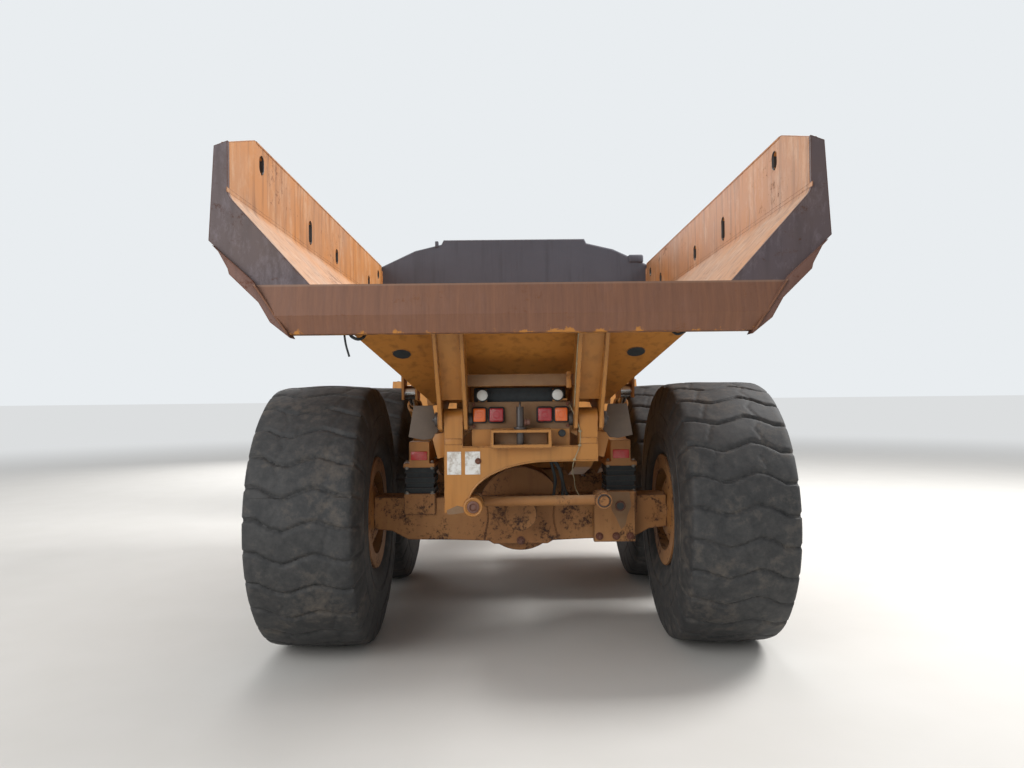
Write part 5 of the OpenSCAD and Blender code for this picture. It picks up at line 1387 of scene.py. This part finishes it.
class TRUCK_OT_tractor(bpy.types.Operator):
    """Builds the hood's fittings, lamps, bumper, steps, rails, mirrors, tanks and deck of the tractor."""

    bl_idname = "truck.tractor"
    bl_label = "Tractor"

    def execute(self, context):
        # Headlamps with bezels, and turn lamps beside them
        bezels, clear, amber = [], [], []
        for x0, x1, split in ((-1.08, -0.9, 0.058), (0.9, 1.08, 0.122)):
            bezels.append(block((x0 - 0.004, 5.314, 1.1405), (x1 + 0.004, 5.388, 1.284), 0.014, 3))
            for low, high in ((x0 + 0.012, x0 + split - 0.004), (x0 + split + 0.004, x1 - 0.012)):
                (clear if high - low > 0.07 else amber).append(block((low, 5.384, 1.152), (high, 5.394, 1.272), 0.004))
        finish_piece("lamp_bezels", bezels, "tractor", "grained_plastic", stands_for=("headlamps",))
        finish_piece("headlamp_lenses", clear, "tractor", "clear_lens")
        finish_piece("front_turn_lenses", amber, "tractor", "amber_lens")

        # Bumper bolts, tank straps, the rails' flanges with their bolts, tank caps
        up = (0, 0, 1)
        parts = [bolt((x, 5.36, z), (0, 1, 0), 0.02) for x in (0.48, 0.7, 1.22) for z in (0.84, 1.08)]
        for y in (3.5, 3.95):
            parts += [block((0.56, y, 1.498), (1.256, y + 0.05, 1.506), 0.003),
                      block((1.248, y, 0.93), (1.256, y + 0.05, 1.503), 0.003)]
        for x in (0.9, 1.64):
            parts += [block((x - 0.045, 2.914, 1.976), (x + 0.045, 3.004, 1.986), 0.004),
                      ring((x, 2.959, 1.99), up, 0.022, 0.005, 24, 8)]
            parts += [bolt((x + dx, 2.959, 1.986), up, 0.007) for dx in (-0.034, 0.034)]
        finish_piece("front_bolts", both(parts), "tractor", "zinc_plated")
        cap = turned([(0, 0), (0.055, 0), (0.055, 0.03), (0.045, 0.038), (0.02, 0.038), (0.016, 0.05), (0, 0.05)],
                     (0.8, 3.72, 1.5), up, 32)
        finish_piece("tank_caps", both([cap]), "tractor", "dark_enamel")

        # Serrated treads and hand bars of the ladders, grating on the platforms
        rung = in_row(block((1.262, 3.41, 0.503), (1.432, 3.416, 0.512)), 13, (0, 0.034, 0))
        grips = [rung] + [copied(rung, Matrix.Translation((0, 0, 0.28 * k))) for k in range(1, 5)]
        grips.append(in_row(block((0.79, 3.2, 1.928), (1.42, 3.206, 1.938)), 20, (0, 0.034, 0)))
        grips += [pipe([(1.43, y, 0.7), (1.452, y, 0.72), (1.452, y, 2.5), (1.4, y, 2.56), (1.3, y, 2.56),
                        (1.26, y, 2.52), (1.26, y, 1.93)], 0.013, 3) for y in (3.395, 3.855)]
        finish_piece("step_grips", both(grips), "tractor", "zinc_plated")

        # Anti-slip studs on the fenders' decks, rubber lips along the arches, mud flaps
        stud = bar((0.88, 1.34, 1.974), (0.88, 1.34, 1.981), 0.013, 8, 0.0, 0.009)
        for count, step in ((12, (0.072, 0, 0)), (23, (0, 0.072, 0))):
            in_row(stud, count, step)
        finish_piece("deck_studs", both([stud]), "tractor", "dark_enamel")
        arch = [(1.139, 1.5), (1.329, 1.93), (3.029, 1.93), (3.219, 1.5)]
        lips = [pipe([(1.737, y, z) for y, z in arch], 0.009, 2, smooth=False)]
        for y, low_z in ((1.106, 1.02), (3.24, 1.1)):
            lips.append(block((0.95, y - 0.006, low_z), (1.7, y + 0.006, 1.515), 0.004))
            lips += [bar((0.97 + 0.09 * k, y - 0.009, low_z + 0.05), (0.97 + 0.09 * k, y - 0.009, 1.42), 0.006, 6)
                     for k in range(9)]
        finish_piece("fender_lips", both(lips), "tractor", "moulded_rubber")

        # Mirrors
        shells, glass = [], []
        for x0, x1 in ((-1.69, -1.46), (1.46, 1.69)):
            shells.append(block((x0, 2.901, 2.93), (x1, 2.977, 3.42), 0.03, 4))
            shells.append(block((x0 + 0.1, 2.949, 2.89), (x1 - 0.1, 2.969, 2.95), 0.006))
            glass.append(block((x0 + 0.014, 2.8975, 2.945), (x1 - 0.014, 2.903, 3.405), 0.0025, 2))
        finish_piece("mirror_shells", shells, "tractor", "grained_plastic", stands_for=("mirrors",))
        finish_piece("mirror_glass", glass, "tractor", "silvered_mirror")

        # Exhaust: slotted heat shield, clamps and a turned tip
        stack_x, stack_y = 1.05, 1.529
        foot = (stack_x, stack_y, 0)
        shield = turned([(0.078, 2.12), (0.084, 2.12), (0.084, 3.28), (0.078, 3.28), (0.078, 2.12)], foot, up, 40)
        slots = []
        for a in np.linspace(0, 2 * math.pi, 13)[:-1]:
            x, y = stack_x + 0.083 * math.cos(a), stack_y + 0.083 * math.sin(a)
            slots += [bar((x, y, z), (x, y, z + 0.09), 0.006, 8) for z in np.arange(2.2, 3.15, 0.15)]
        finish_piece("exhaust_shield", [shield] + slots, "tractor", "zinc_plated")
        tip = [turned([(0.068, 3.44), (0.076, 3.44), (0.078, 3.545), (0.066, 3.545), (0.064, 3.46), (0.068, 3.44)],
                      foot, up, 40),
               turned([(0, 3.549), (0.06, 3.549), (0.06, 3.551), (0, 3.551)], foot, up, 32)]
        tip += [ring((stack_x, stack_y, z), up, 0.079, 0.008, 40, 8) for z in (2.05, 3.34)]
        finish_piece("exhaust_tip", tip, "tractor", "scaled_steel")

        # Hood: raised panel, louvres, latches, handle, grille trim; the hood's own body carries them
        def top(y):
            return 2.62 - (y - 3.159) * 0.44 / 2.031

        def grille_face(z):
            return 5.3 + (z - 1.24) * 0.04 / 0.66
        trims = [plate([(x, y, top(y) - 0.004) for x, y in ((-0.42, 3.3), (0.42, 3.3), (0.36, 5.05), (-0.36, 5.05))],
                       (0, 0, 0.022), 0.008)]
        for side in (-1, 1):
            near, far = sorted((side * 0.75, side * 0.764))
            trims += [block((near, y, 1.82), (far, y + 0.035, 2.16), 0.006) for y in 3.62 + 0.075 * np.arange(11)]
            trims.append(weld([(side * 0.751, 3.2, 1.66), (side * 0.751, 4.7, 1.58)], 0.005))
            trims.append(block((side * 0.6 - 0.1, 3.168, 2.2), (side * 0.6 + 0.1, 3.18, 2.4), 0.005))
        finish_piece("hood_panels", trims, "hood", "machine_enamel")
        latches = []
        for side in (-1, 1):
            x = side * 0.752
            latches += [block((x - 0.012, 3.24, 1.72), (x + 0.012, 3.3, 1.84), 0.006),
                        bar((x + side * 0.012, 3.27, 1.74), (x + side * 0.012, 3.27, 1.86), 0.009, 12, 0.002)]
        latches += [seal([(x, grille_face(z) + 0.004, z) for x, z in ((-0.55, 1.32), (0.55, 1.32), (0.55, 1.86),
                                                                      (-0.55, 1.86))], 0.012),
                    pipe([(-0.12, 5.25, 2.08), (-0.12, 5.285, 2.08), (0.12, 5.285, 2.08), (0.12, 5.25, 2.08)],
                         0.009, 3)]
        latches += [block((-0.525, grille_face(z) - 0.012, z), (0.525, grille_face(z) + 0.006, z + 0.022), 0.004)
                    for z in np.arange(1.375, 1.83, 0.05)]
        finish_piece("hood_latches", latches, "hood", "grained_plastic")
        return {"FINISHED"}


class TRUCK_PT_panel(bpy.types.Panel):
    """Lists the steps that dress the truck."""

    bl_label = "Dump truck"
    bl_idname = "TRUCK_PT_panel"
    bl_space_type = "VIEW_3D"
    bl_region_type = "UI"
    bl_category = "Truck"

    def draw(self, context):
        for group in (context.scene.truck_sizes, context.scene.truck_colours):
            for key in group.__annotations__:
                self.layout.prop(group, key)
        for step in STEPS:
            self.layout.operator(step.bl_idname)


GROUPS = ((TruckColours, "truck_colours"), (TruckSizes, "truck_sizes"))
STEPS = (
    TRUCK_OT_stage, TRUCK_OT_finishes, TRUCK_OT_tyres, TRUCK_OT_tail, TRUCK_OT_axles, TRUCK_OT_bed, TRUCK_OT_wheels,
    TRUCK_OT_chassis, TRUCK_OT_cab, TRUCK_OT_tractor,
)


def register():
    """Registers the classes and hangs the settings on the scene."""
    for group, name in GROUPS:
        bpy.utils.register_class(group)
        setattr(bpy.types.Scene, name, PointerProperty(type=group))
    for made in STEPS + (TRUCK_PT_panel,):
        bpy.utils.register_class(made)


def unregister():
    """Takes the settings and classes away again."""
    for made in reversed(STEPS + (TRUCK_PT_panel,)):
        bpy.utils.unregister_class(made)
    for group, name in reversed(GROUPS):
        delattr(bpy.types.Scene, name)
        bpy.utils.unregister_class(group)


def main():
    """Runs every step in order."""
    register()
    for step in STEPS:
        area, name = step.bl_idname.split(".")
        getattr(getattr(bpy.ops, area), name)()
    take()


if __name__ == "__main__":
    main()
